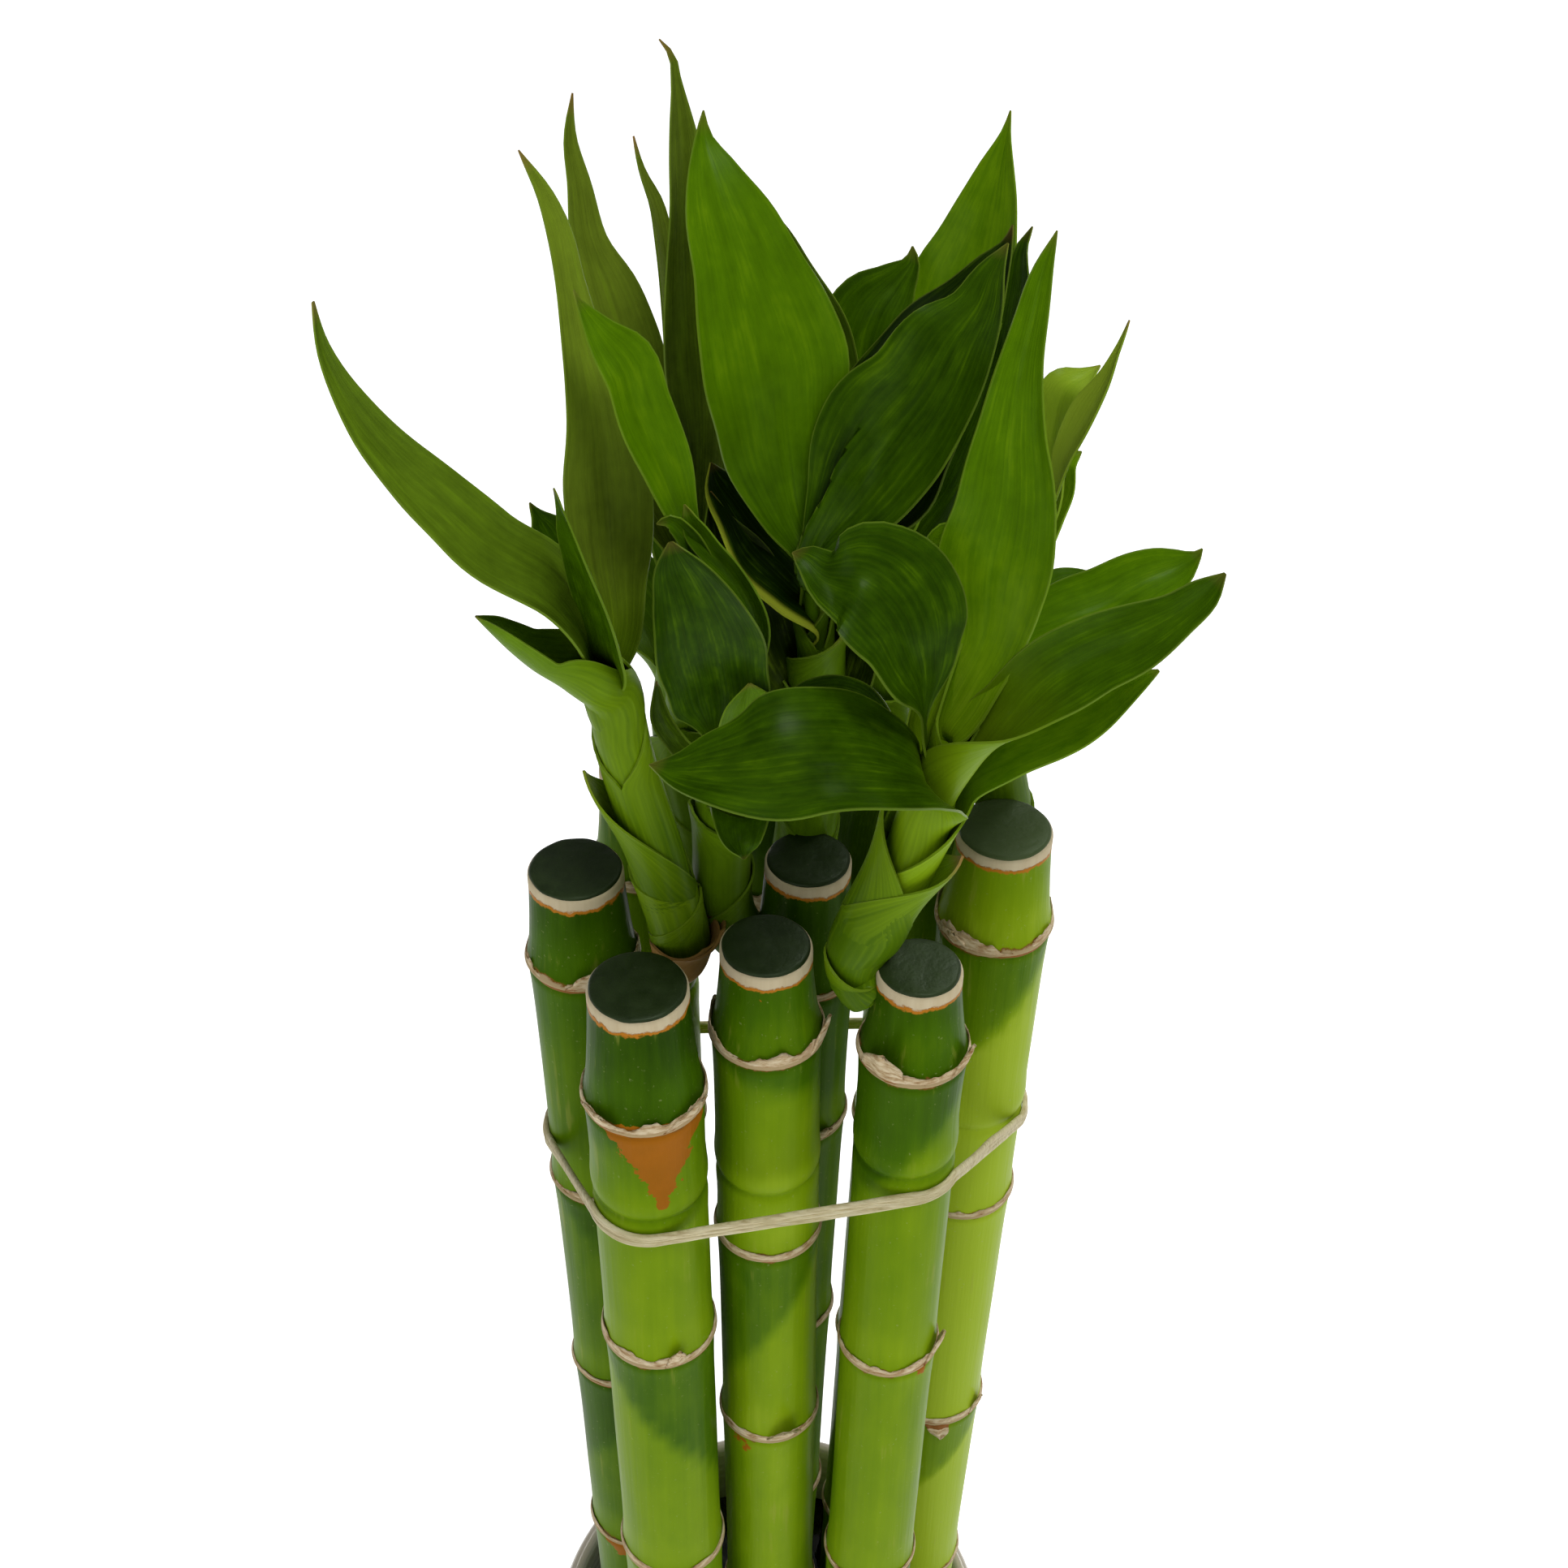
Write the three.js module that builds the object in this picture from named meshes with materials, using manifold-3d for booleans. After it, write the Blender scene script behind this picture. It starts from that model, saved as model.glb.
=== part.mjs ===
// Lucky bamboo: nine green canes tied in a bundle, seven of them with a leafy shoot, in a vase of water.
// Millimetres, +Z up. The origin is the centre of the vase's underside.

import * as THREE from 'three';
import { mergeVertices } from 'three/addons/utils/BufferGeometryUtils.js';
import Module from 'manifold-3d';

const wasm = await Module();
wasm.setup();

// Gap between pieces that touch
const GAP = 0.3;

// Vase and water
const VASE_RADIUS = 41.5;
const VASE_HEIGHT = 89;
const VASE_WALL = 3.2;
const VASE_FLOOR = 5;
const VASE_FOOT = 3;
const VASE_FOOT_LIFT = 0.9;
const VASE_LIP = 1.6;
const VASE_LIP_ROUND = 0.5;
const VASE_SIDES = 40;
const WATER_LEVEL = 72;

// Canes: cut level with each other, standing on the vase's floor
const CANE_FOOT = VASE_FLOOR + GAP;
const CANE_TOP = 284.4;
const CANE_SIDES = 12;
const CANE_WAIST = 0.1;
const NECK_LENGTH = 5;
const NECK_SWELL = 0.4;
const CUT_EDGE = 1.4;
const CUT_BEVEL = 0.3;
const SCAR_RIDGE = 0.9;
const SCAR_BELOW = 2;
const SCAR_ABOVE = 1.6;
const GROOVE_DEPTH = 0.6;

// Each cane: the centres of its foot and top, its radius, its radius at the cut, the heights of its
// leaf scars, and the height of the groove round its last joint
const CANES = {
  cane_1: {
    foot: [-14, -21.5],
    top: [-18.7, -21.8],
    body: 8.1,
    cut: 6.8,
    scars: [265, 213, 155, 99, 45],
    groove: 246,
  },
  cane_2: {
    foot: [1.5, -11.5],
    top: [-2, -13.7],
    body: 7.5,
    cut: 6.3,
    scars: [269, 227, 180, 126, 70],
    groove: 241,
  },
  cane_3: {
    foot: [15.5, -21],
    top: [18.4, -17.4],
    body: 7.2,
    cut: 5.5,
    scars: [270, 206, 148, 92, 38],
    groove: 250,
  },
  cane_4: {
    foot: [-22, -1.5],
    top: [-28.7, 0.4],
    body: 7.6,
    cut: 6.2,
    scars: [269, 223, 176, 128, 78],
  },
  cane_5: {
    foot: [-1, 6.5],
    top: [3.6, 3.7],
    body: 7.3,
    cut: 6.1,
    scars: [264, 233, 184, 132, 80],
  },
  cane_6: {
    foot: [25.5, 7],
    top: [31.5, 9.8],
    body: 8.1,
    cut: 6.3,
    scars: [268, 210, 154, 104, 52],
    groove: 230,
  },
  cane_7: {
    foot: [16.5, 22],
    top: [22, 27],
    body: 7.4,
    cut: 6.2,
    scars: [266, 208, 150, 94, 40],
    groove: 240,
  },
  cane_8: {
    foot: [-17.5, 18.5],
    top: [-21, 23.5],
    body: 7.4,
    cut: 6.2,
    scars: [267, 211, 158, 104, 50],
    groove: 242,
  },
  cane_9: {
    foot: [-0.5, 24.5],
    top: [0, 21],
    body: 7.3,
    cut: 6.1,
    scars: [265, 205, 146, 90, 36],
    groove: 238,
  },
};

// Wax that seals each cut
const WAX_THICK = 0.6;
const WAX_MARGIN = 0.2;
const WAX_EDGE = 0.3;

// Raffia tie: the canes that it bears on, in order, and its height at each
const TIE_THICK = 0.9;
const TIE_WIDTH = 2.6;
const TIE_SIDES = 6;
const TIE_BEND_STEP = 0.3;
const TIE_ROUTE = [
  ['cane_1', 243],
  ['cane_3', 247],
  ['cane_6', 228],
  ['cane_7', 221],
  ['cane_8', 222],
  ['cane_4', 232],
];

// Leaves: thickness, rows and columns of one blade, width at the root as a share of the widest,
// where along it a blade is widest, and the wave of its edges
const LEAF_THICK = 0.7;
const LEAF_ROWS = 7;
const LEAF_COLUMNS = 5;
const LEAF_ROOT_SHARE = 0.3;
const LEAF_WIDEST = 0.4;
const LEAF_TIP_WIDTH = 0.7;
const LEAF_WAVE = 0.5;
const LEAF_WAVE_ALONG = 9;
const LEAF_WAVE_ACROSS = 2;

// Stem of a shoot: sides, how slim it starts inside its cane, how far a sheath's mouth stands out,
// and the share of the stem that the mouth takes
const STEM_SIDES = 8;
const STEM_START = 0.65;
const SHEATH_FLARE = 0.8;
const SHEATH_MOUTH = 0.02;

// Each shoot: its stem from inside its cane upwards, the stem's radius at both ends, the number of
// sheaths that wrap it, and its leaves. A leaf is its root, its middle, its tip, its width, the turn
// of its blade about its length in degrees, the depth of its trough, and how fast it tapers.
const SHOOTS = {
  shoot_1: {
    stem: [[-23, -2, 262], [-14, -3, 270], [-15, -4, 288], [-19, -5, 306], [-22, -6, 322]],
    radii: [4.6, 3.6],
    sheaths: 5,
    leaves: [
      [[-22, -6, 320], [-42, -12, 349], [-51, -15, 379], 17, -15, 0.25, 1.7],
      [[-20, -7, 310], [-28, -11, 327], [-36, -12, 337], 13, -20, 0.6, 1],
      [[-21, -7, 320], [-24, -11, 341], [-26, -12, 354], 8, 0, 0.6, 1.2],
      [[-22, -4, 320], [-28, 0, 335], [-32, 2, 343], 8, 0, 0.4, 1.2],
      [[-20, -4, 318], [-21, 8, 353], [-32, 17, 382], 14, -10, 0.3, 2.3],
    ],
  },
  shoot_2: {
    stem: [[17, -16, 275], [10.5, -15, 281], [13, -15, 291], [18, -14, 303], [20, -13, 320]],
    radii: [4.8, 3.6],
    sheaths: 5,
    leaves: [
      [[20, -11, 312], [25.5, -5, 348], [30, 8, 378], 15, 5, 0.3, 1.9],
      [[20, -9, 310], [37, -3, 329], [51, 2, 336], 16, 30, 0.3, 1.1],
      [[19, -14, 308], [35, -15, 331], [51, -12, 344], 18, 40, 0.3, 0.9],
      [[20, -11, 302], [35, -8, 317], [46, -5, 327], 13, 15, 0.3, 1],
      [[20, -15, 309], [3, -26, 326], [-16, -24, 325], 19, -18, 0.25, 1],
      [[18, -15, 312], [13, -16, 337], [1, -10, 346], 17, -25, 0.4, 0.9],
      [[19, -11, 306], [10, -3, 318], [-2, 2, 313], 11, 0, 0.3, 1.2],
    ],
  },
  shoot_3: {
    stem: [[1, 3, 264], [-5, 3, 272], [-7, 1, 290], [-7, 0, 306], [-7, 0, 316]],
    radii: [4.4, 3.2],
    sheaths: 4,
    leaves: [
      [[-6, -2, 308], [-9, -6, 328], [-12, -6, 346], 15, -50, 0.25, 0.6],
      [[-7, -1, 308], [-9, -3, 334], [-15, -2, 344], 12, -30, 0.35, 0.8],
      [[-6, 0, 310], [-16, 0, 346], [-25, 4, 370], 14, -40, 0.25, 1.1],
      [[-6, 0, 302], [-6, -3, 315], [-4, -4, 320], 8, 0, 0.5, 0.6],
      [[-6, 0, 294], [-6, -8, 301], [-6, -11, 298], 10, 0, 0.4, 0.8],
    ],
  },
  shoot_4: {
    stem: [[0, 18, 262], [2, 13, 272], [4, 13, 294], [4, 12, 312], [3, 10, 328]],
    radii: [4.6, 3.4],
    sheaths: 5,
    leaves: [
      [[3, 9, 318], [-3, 14, 357], [-11, 28, 382], 19, -15, 0.25, 1.1],
      [[4, 12, 320], [1, 24, 351], [-4, 33, 369], 12, -10, 0.3, 1.1],
      [[4, 8, 320], [16, 9, 351], [26, 22, 369], 19, 15, 0.3, 1.1],
      [[4, 12, 320], [16, 17, 350], [27, 28, 368], 16, 15, 0.3, 1.1],
      [[4, 12, 312], [-4, 14, 326], [-10, 16, 341], 14, -10, 0.3, 1],
      [[4, 14, 318], [-3, 31, 330], [-6, 47, 335], 12, 0, 0.3, 1.3],
    ],
  },
  shoot_5: {
    stem: [[20, 29, 262], [17, 33, 272], [17, 31, 294], [15, 28, 312], [13, 27, 322]],
    radii: [4.4, 3.2],
    sheaths: 4,
    leaves: [
      [[14, 29, 314], [23, 38, 350], [28, 52, 373], 18, 0, 0.25, 1],
      [[13, 27, 314], [10.5, 32, 343], [16, 40, 359], 15, 0, 0.3, 0.9],
      [[14, 27, 314], [25, 30, 347], [30, 37, 364], 12, 0, 0.3, 1.1],
      [[14, 29, 310], [18, 50, 328], [22, 68, 329], 17, 0, 0.3, 1.3],
      [[16, 29, 304], [29, 42, 315], [39, 52, 309], 15, 0, 0.3, 1.3],
    ],
  },
  shoot_6: {
    stem: [[32, 13, 262], [35, 20, 272], [33, 21, 290], [31, 22, 308], [29, 22, 322]],
    radii: [4.2, 3],
    sheaths: 4,
    leaves: [
      [[29, 22, 314], [34, 26, 341], [40, 32, 347], 12, 0, 0.3, 1],
      [[29, 21, 314], [35, 18, 343], [42, 20, 360], 10, 20, 0.3, 1.1],
      [[29, 21, 310], [33, 23, 330], [38, 26, 338], 10, 20, 0.3, 1],
      [[31, 22, 302], [42, 31, 310], [49, 37, 303], 14, 0, 0.3, 1.2],
    ],
  },
  shoot_7: {
    stem: [[-19, 22, 262], [-13, 19, 272], [-15, 20, 297], [-13, 20, 312], [-11, 20, 324]],
    radii: [4.4, 3.2],
    sheaths: 5,
    leaves: [
      [[-12, 21, 316], [-22.5, 32, 351], [-28, 42, 378], 14, 0, 0.3, 2],
      [[-12, 22, 316], [-17, 34, 354], [-20, 42, 373], 7, 40, 0.3, 1.6],
      [[-11, 19, 316], [-11.5, 28, 360], [-16, 34, 389], 13, 0, 0.3, 2],
      [[-14, 18, 296], [-15, 11, 308], [-17, 10, 317], 7, 0, 0.5, 1],
      [[-12, 23, 310], [-12, 44, 330], [-14, 62, 332], 17, 0, 0.3, 1.3],
      [[-13, 22, 300], [-28, 36, 311], [-40, 48, 306], 15, 0, 0.3, 1.3],
    ],
  },
};

// Colours
const CANE_GREEN = 0x6f9a16;
const LEAF_GREEN = 0x2f6a08;
const WAX_GREEN = 0x2b3d26;
const RAFFIA = 0xcdbe85;
const GLAZE = 0xd8d4c8;
const WATER = 0xbfd6cc;

function finish(colour, roughness) {
  return new THREE.MeshStandardMaterial({ color: colour, roughness, metalness: 0 });
}

// A geometry with shared vertices and no triangle of zero width
function weld(geometry) {
  const bare = geometry.clone();
  bare.deleteAttribute('normal');
  bare.deleteAttribute('uv');
  const merged = mergeVertices(bare, 1e-4);
  const corners = merged.index.array;
  const kept = [];
  for (let i = 0; i < corners.length; i += 3) {
    const [a, b, c] = [corners[i], corners[i + 1], corners[i + 2]];
    if (a !== b && b !== c && c !== a) kept.push(a, b, c);
  }
  merged.setIndex(kept);
  return merged;
}

function solidOf(geometry) {
  const welded = weld(geometry);
  return new wasm.Manifold(new wasm.Mesh({
    numProp: 3,
    vertProperties: new Float32Array(welded.attributes.position.array),
    triVerts: new Uint32Array(welded.index.array),
  }));
}

function geometryOf(solid) {
  const mesh = solid.getMesh();
  const geometry = new THREE.BufferGeometry();
  geometry.setAttribute('position', new THREE.BufferAttribute(new Float32Array(mesh.vertProperties), 3));
  geometry.setIndex([...mesh.triVerts]);
  geometry.computeVertexNormals();
  return geometry;
}

// A solid turned from a profile of radii and heights
function turned(profile, sides) {
  const points = profile.map(([radius, height]) => new THREE.Vector2(radius, height));
  const geometry = new THREE.LatheGeometry(points, sides);
  geometry.rotateX(Math.PI / 2);
  return geometry;
}

function moveEachPoint(geometry, move) {
  const position = geometry.attributes.position;
  const point = new THREE.Vector3();
  for (let i = 0; i < position.count; i += 1) {
    point.fromBufferAttribute(position, i);
    move(point);
    position.setXYZ(i, point.x, point.y, point.z);
  }
  return geometry;
}

// Centre of a cane at a height
function caneCentre(cane, height) {
  const share = (height - CANE_FOOT) / (CANE_TOP - CANE_FOOT);
  return [
    THREE.MathUtils.lerp(cane.foot[0], cane.top[0], share),
    THREE.MathUtils.lerp(cane.foot[1], cane.top[1], share),
  ];
}

function leanCane(geometry, cane) {
  return moveEachPoint(geometry, (point) => {
    const [x, y] = caneCentre(cane, point.z);
    point.x += x;
    point.y += y;
  });
}

// A cane: a jointed stem with a ridge at each leaf scar, drawn in a little to its cut top
function caneGeometry(cane, grow = 0) {
  const { body, cut, scars, groove } = cane;
  const marks = scars.map((height) => ({ height, ridge: SCAR_RIDGE }));
  if (groove) marks.push({ height: groove, ridge: -GROOVE_DEPTH });
  marks.sort((a, b) => a.height - b.height);
  const profile = [[0, CANE_FOOT - grow], [body + grow, CANE_FOOT - grow]];
  for (const { height, ridge } of marks) {
    profile.push([body + grow - CANE_WAIST, height - SCAR_BELOW]);
    profile.push([body + grow + ridge, height]);
    profile.push([body + grow, height + SCAR_ABOVE]);
  }
  profile.push([cut + grow + NECK_SWELL, CANE_TOP - NECK_LENGTH]);
  profile.push([cut + grow, CANE_TOP - CUT_EDGE]);
  profile.push([cut + grow - CUT_BEVEL, CANE_TOP + grow]);
  profile.push([0, CANE_TOP + grow]);
  return leanCane(turned(profile, CANE_SIDES), cane);
}

// A thin round seal of wax on the cut
function waxGeometry(cane, grow = 0) {
  const radius = cane.cut - CUT_BEVEL - WAX_MARGIN + grow;
  const base = CANE_TOP + GAP - grow;
  const crown = base + WAX_THICK + 2 * grow;
  const profile = [
    [0, base],
    [radius, base],
    [radius, crown - WAX_EDGE],
    [radius - WAX_EDGE, crown],
    [0, crown],
  ];
  return moveEachPoint(turned(profile, CANE_SIDES), (point) => {
    point.x += cane.top[0];
    point.y += cane.top[1];
  });
}

// A vase: a plain round wall and floor with softened edges
function vaseGeometry() {
  const inner = VASE_RADIUS - VASE_WALL;
  return turned([
    [0, 0],
    [VASE_RADIUS - VASE_FOOT, 0],
    [VASE_RADIUS - VASE_FOOT_LIFT, VASE_FOOT_LIFT],
    [VASE_RADIUS, VASE_FOOT],
    [VASE_RADIUS, VASE_HEIGHT - VASE_LIP],
    [VASE_RADIUS - VASE_LIP_ROUND, VASE_HEIGHT - VASE_LIP_ROUND],
    [VASE_RADIUS - VASE_LIP, VASE_HEIGHT],
    [inner + VASE_LIP_ROUND, VASE_HEIGHT - VASE_LIP_ROUND],
    [inner, VASE_HEIGHT - VASE_LIP],
    [inner, VASE_FLOOR + VASE_FOOT],
    [inner - VASE_FOOT, VASE_FLOOR],
    [0, VASE_FLOOR],
  ], VASE_SIDES);
}

// Water: it fills the vase round the canes, which stand in plain holes
function waterGeometry() {
  const radius = VASE_RADIUS - VASE_WALL - GAP;
  const floor = VASE_FLOOR + GAP;
  const profile = [
    [0, floor],
    [radius - VASE_FOOT, floor],
    [radius, floor + VASE_FOOT],
    [radius, WATER_LEVEL],
    [0, WATER_LEVEL],
  ];
  let water = solidOf(turned(profile, VASE_SIDES));
  for (const cane of Object.values(CANES)) {
    const hole = cane.body + SCAR_RIDGE + GAP;
    const bore = turned([[0, 0], [hole, 0], [hole, VASE_HEIGHT], [0, VASE_HEIGHT]], CANE_SIDES);
    water = water.subtract(solidOf(leanCane(bore, cane)));
  }
  return geometryOf(water);
}

// Route of the tie: straight from cane to cane and bent round each, as a list of points
function tieRoute() {
  const circles = TIE_ROUTE.map(([name, height]) => {
    const [x, y] = caneCentre(CANES[name], height);
    return { x, y, height, radius: CANES[name].body + GAP + TIE_THICK / 2 };
  });
  const ends = circles.map((from, i) => {
    const to = circles[(i + 1) % circles.length];
    const run = Math.hypot(to.x - from.x, to.y - from.y);
    const course = Math.atan2(to.y - from.y, to.x - from.x);
    return course - Math.PI / 2 + Math.asin((from.radius - to.radius) / run);
  });
  const points = [];
  circles.forEach((circle, i) => {
    const start = ends[(i + circles.length - 1) % circles.length];
    let turn = ends[i] - start;
    while (turn < 0) turn += 2 * Math.PI;
    const steps = Math.max(2, Math.ceil(turn / TIE_BEND_STEP));
    for (let step = 0; step <= steps; step += 1) {
      const angle = start + (turn * step) / steps;
      points.push(new THREE.Vector3(
        circle.x + circle.radius * Math.cos(angle),
        circle.y + circle.radius * Math.sin(angle),
        circle.height,
      ));
    }
  });
  return points;
}

// The tie: a flat strand carried along the route, closed on itself
function tieGeometry() {
  const points = tieRoute();
  const rings = points.length;
  const ring = new THREE.TorusGeometry(10, 1, TIE_SIDES, rings);
  const position = ring.attributes.position;
  const columns = rings + 1;
  for (let side = 0; side <= TIE_SIDES; side += 1) {
    const angle = (side / TIE_SIDES) * 2 * Math.PI;
    for (let step = 0; step < columns; step += 1) {
      const here = points[step % rings];
      const before = points[(step + rings - 1) % rings];
      const after = points[(step + 1) % rings];
      const along = after.clone().sub(before).setZ(0).normalize();
      const outward = new THREE.Vector3(along.y, -along.x, 0);
      const spot = here.clone().addScaledVector(outward, (Math.cos(angle) * TIE_THICK) / 2);
      position.setXYZ(side * columns + step, spot.x, spot.y, spot.z + (Math.sin(angle) * TIE_WIDTH) / 2);
    }
  }
  return ring;
}

// A point on the arc through the root, the middle and the tip of a leaf
function alongLeaf(root, middle, tip, share) {
  const a = (1 - share) * (1 - 2 * share);
  const b = 4 * share * (1 - share);
  const c = share * (2 * share - 1);
  return new THREE.Vector3(
    a * root[0] + b * middle[0] + c * tip[0],
    a * root[1] + b * middle[1] + c * tip[1],
    a * root[2] + b * middle[2] + c * tip[2],
  );
}

// Half-width of a leaf as a share of its widest: a narrow root and a long drawn-out tip
function leafOutline(share, taper) {
  if (share < LEAF_WIDEST) {
    const rise = Math.sin((share / LEAF_WIDEST) * (Math.PI / 2));
    return LEAF_ROOT_SHARE + (1 - LEAF_ROOT_SHARE) * rise;
  }
  return Math.cos(((share - LEAF_WIDEST) / (1 - LEAF_WIDEST)) * (Math.PI / 2)) ** taper;
}

// A blade: a thin trough with waved edges, its upper face up and its two faces split alike
function leafGeometry([root, middle, tip, width, turn, trough, taper]) {
  const chord = new THREE.Vector3(...tip).sub(new THREE.Vector3(...root)).normalize();
  const up = new THREE.Vector3(0, 0, 1).addScaledVector(chord, -chord.z).normalize();
  up.applyAxisAngle(chord, THREE.MathUtils.degToRad(turn));
  const points = [];
  for (let row = 0; row < LEAF_ROWS; row += 1) {
    const share = row / (LEAF_ROWS - 1);
    const centre = alongLeaf(root, middle, tip, share);
    const ahead = alongLeaf(root, middle, tip, share + 0.01);
    const along = ahead.sub(centre).normalize();
    const side = along.clone().cross(up).normalize();
    const face = side.clone().cross(along);
    const half = Math.max((width / 2) * leafOutline(share, taper), LEAF_TIP_WIDTH / 2);
    for (let column = 0; column < LEAF_COLUMNS; column += 1) {
      const across = (2 * column) / (LEAF_COLUMNS - 1) - 1;
      const ripple = Math.sin(LEAF_WAVE_ALONG * share + LEAF_WAVE_ACROSS * across);
      const wave = LEAF_WAVE * leafOutline(share, taper) * ripple;
      const lift = (trough * half + wave) * across * across;
      const spot = centre.clone().addScaledVector(side, half * across).addScaledVector(face, lift);
      points.push(spot.clone().addScaledVector(face, LEAF_THICK / 2));
      points.push(spot.clone().addScaledVector(face, -LEAF_THICK / 2));
    }
  }
  const upper = (row, column) => 2 * (row * LEAF_COLUMNS + column);
  const lower = (row, column) => upper(row, column) + 1;
  const faces = [];
  const quad = (a, b, c, d) => faces.push(a, b, c, a, c, d);
  const end = LEAF_ROWS - 1;
  const edge = LEAF_COLUMNS - 1;
  for (let row = 0; row < end; row += 1) {
    for (let column = 0; column < edge; column += 1) {
      const corners = [[row, column], [row, column + 1], [row + 1, column + 1], [row + 1, column]];
      const [a, b, c, d] = corners.map(([r, k]) => upper(r, k));
      const [e, f, g, h] = corners.map(([r, k]) => lower(r, k));
      quad(a, b, c, d);
      faces.push(e, g, f, e, h, g);
    }
    quad(upper(row, 0), upper(row + 1, 0), lower(row + 1, 0), lower(row, 0));
    quad(upper(row, edge), lower(row, edge), lower(row + 1, edge), upper(row + 1, edge));
  }
  for (let column = 0; column < edge; column += 1) {
    quad(upper(0, column), lower(0, column), lower(0, column + 1), upper(0, column + 1));
    quad(upper(end, column), upper(end, column + 1), lower(end, column + 1), lower(end, column));
  }
  const geometry = new THREE.BufferGeometry();
  geometry.setAttribute('position', new THREE.Float32BufferAttribute(points.flatMap((p) => p.toArray()), 3));
  geometry.setIndex(faces);
  return geometry;
}

// A stem wrapped in sheaths: each widens to its mouth, and the next comes out of it
function stemGeometry({ stem, radii, sheaths }) {
  const route = new THREE.CatmullRomCurve3(stem.map((point) => new THREE.Vector3(...point)));
  const profile = [[0, 0]];
  for (let sheath = 0; sheath < sheaths; sheath += 1) {
    const start = sheath / sheaths;
    const end = (sheath + 1) / sheaths;
    const slim = sheath ? 1 : STEM_START;
    const mouth = sheath ? SHEATH_MOUTH : 0;
    profile.push([slim * THREE.MathUtils.lerp(radii[0], radii[1], start), start + mouth]);
    profile.push([THREE.MathUtils.lerp(radii[0], radii[1], end) + SHEATH_FLARE, end]);
  }
  profile.push([0, 1]);
  const side = new THREE.Vector3(1, 0, 0);
  return moveEachPoint(turned(profile, STEM_SIDES), (point) => {
    const { x, y } = point;
    const share = THREE.MathUtils.clamp(point.z, 0, 1);
    const along = route.getTangentAt(share);
    const front = along.clone().cross(side).normalize();
    const across = front.clone().cross(along);
    route.getPointAt(share, point).addScaledVector(across, x).addScaledVector(front, y);
  });
}

// The largest piece of a solid
function mainPiece(solid) {
  return solid.decompose().sort((a, b) => b.volume() - a.volume())[0];
}

// A shoot: stem and leaves grown together, fitted against the canes with a small gap
function shootGeometry(shoot, clearance) {
  const parts = shoot.leaves.map((leaf) => solidOf(leafGeometry(leaf)));
  const grown = parts.reduce((sum, part) => sum.add(part), solidOf(stemGeometry(shoot)));
  return geometryOf(mainPiece(grown.subtract(clearance)));
}

const plant = new THREE.Group();

function addPiece(name, geometry, material) {
  const piece = new THREE.Mesh(geometry, material);
  piece.name = name;
  plant.add(piece);
}

addPiece('vase', vaseGeometry(), finish(GLAZE, 0.25));
addPiece('water', waterGeometry(), finish(WATER, 0.05));
for (const [name, cane] of Object.entries(CANES)) {
  addPiece(name, caneGeometry(cane), finish(CANE_GREEN, 0.4));
  addPiece(name.replace('cane', 'wax'), waxGeometry(cane), finish(WAX_GREEN, 0.7));
}
addPiece('tie', tieGeometry(), finish(RAFFIA, 0.8));

const caneRoom = Object.values(CANES)
  .flatMap((cane) => [solidOf(caneGeometry(cane, GAP)), solidOf(waxGeometry(cane, GAP))])
  .reduce((sum, part) => sum.add(part));
for (const [name, shoot] of Object.entries(SHOOTS)) {
  addPiece(name, shootGeometry(shoot, caneRoom), finish(LEAF_GREEN, 0.35));
}

export default plant;
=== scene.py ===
# Lucky bamboo: green canes tied in a bundle, leafy shoots near their tops, in a vase of water.
# Blender works in metres; the sizes below are in millimetres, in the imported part's own frame.

import math

import bmesh
import bpy
import numpy as np
from mathutils import Matrix, Vector, noise


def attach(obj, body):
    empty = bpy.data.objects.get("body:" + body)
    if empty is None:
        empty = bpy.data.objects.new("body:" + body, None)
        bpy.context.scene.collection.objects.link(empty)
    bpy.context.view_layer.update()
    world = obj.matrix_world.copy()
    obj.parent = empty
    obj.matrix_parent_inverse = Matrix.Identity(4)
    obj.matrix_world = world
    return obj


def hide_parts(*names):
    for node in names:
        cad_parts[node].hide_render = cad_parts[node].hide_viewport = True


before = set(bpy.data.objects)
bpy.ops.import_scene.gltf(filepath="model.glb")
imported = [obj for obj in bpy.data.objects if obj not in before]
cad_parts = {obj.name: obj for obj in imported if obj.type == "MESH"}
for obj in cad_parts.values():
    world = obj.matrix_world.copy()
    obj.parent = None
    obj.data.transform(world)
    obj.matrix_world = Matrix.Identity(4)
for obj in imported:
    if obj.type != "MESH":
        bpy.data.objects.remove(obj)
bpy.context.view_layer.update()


# Vase: a plain round pot, thrown in stoneware and dipped in a pale glaze that runs thin at the lip.
# It stands on a bare foot and its mouth holds the bundle of canes.
MM = 0.001
VASE_SIDES = 144
VASE_FLOOR = 5.0
# Radius and height: up the outside, over the lip and down the inside.
VASE_PROFILE = [
    (37.4, 0.0), (38.2, 0.15), (38.9, 0.7), (39.6, 1.5), (40.6, 2.6), (41.2, 4.0), (41.45, 6.0),
    (41.5, 9.0), (41.5, 30.0), (41.5, 55.0), (41.5, 78.0), (41.45, 85.0), (41.3, 87.2), (40.9, 88.4),
    (40.2, 88.95), (39.5, 88.9), (38.9, 88.3), (38.5, 87.2), (38.35, 85.0), (38.3, 70.0),
    (38.3, 30.0), (38.3, 10.0), (38.0, 7.6), (37.0, 6.0), (35.4, 5.2), (33.0, VASE_FLOOR),
]
GLAZE, GLAZE_CLOUD = (0.68, 0.65, 0.57), (0.68, 0.65, 0.58)
IRON_SPECK = (0.25, 0.19, 0.13)
THIN_GLAZE = (0.46, 0.36, 0.25)
BARE_CLAY = (0.42, 0.30, 0.19)
# Heights in metres between which the glaze thins at the lip, and starts above the foot.
LIP_BAND = (0.0875, 0.0888)
FOOT_BAND = (0.0021, 0.0018)


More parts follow.
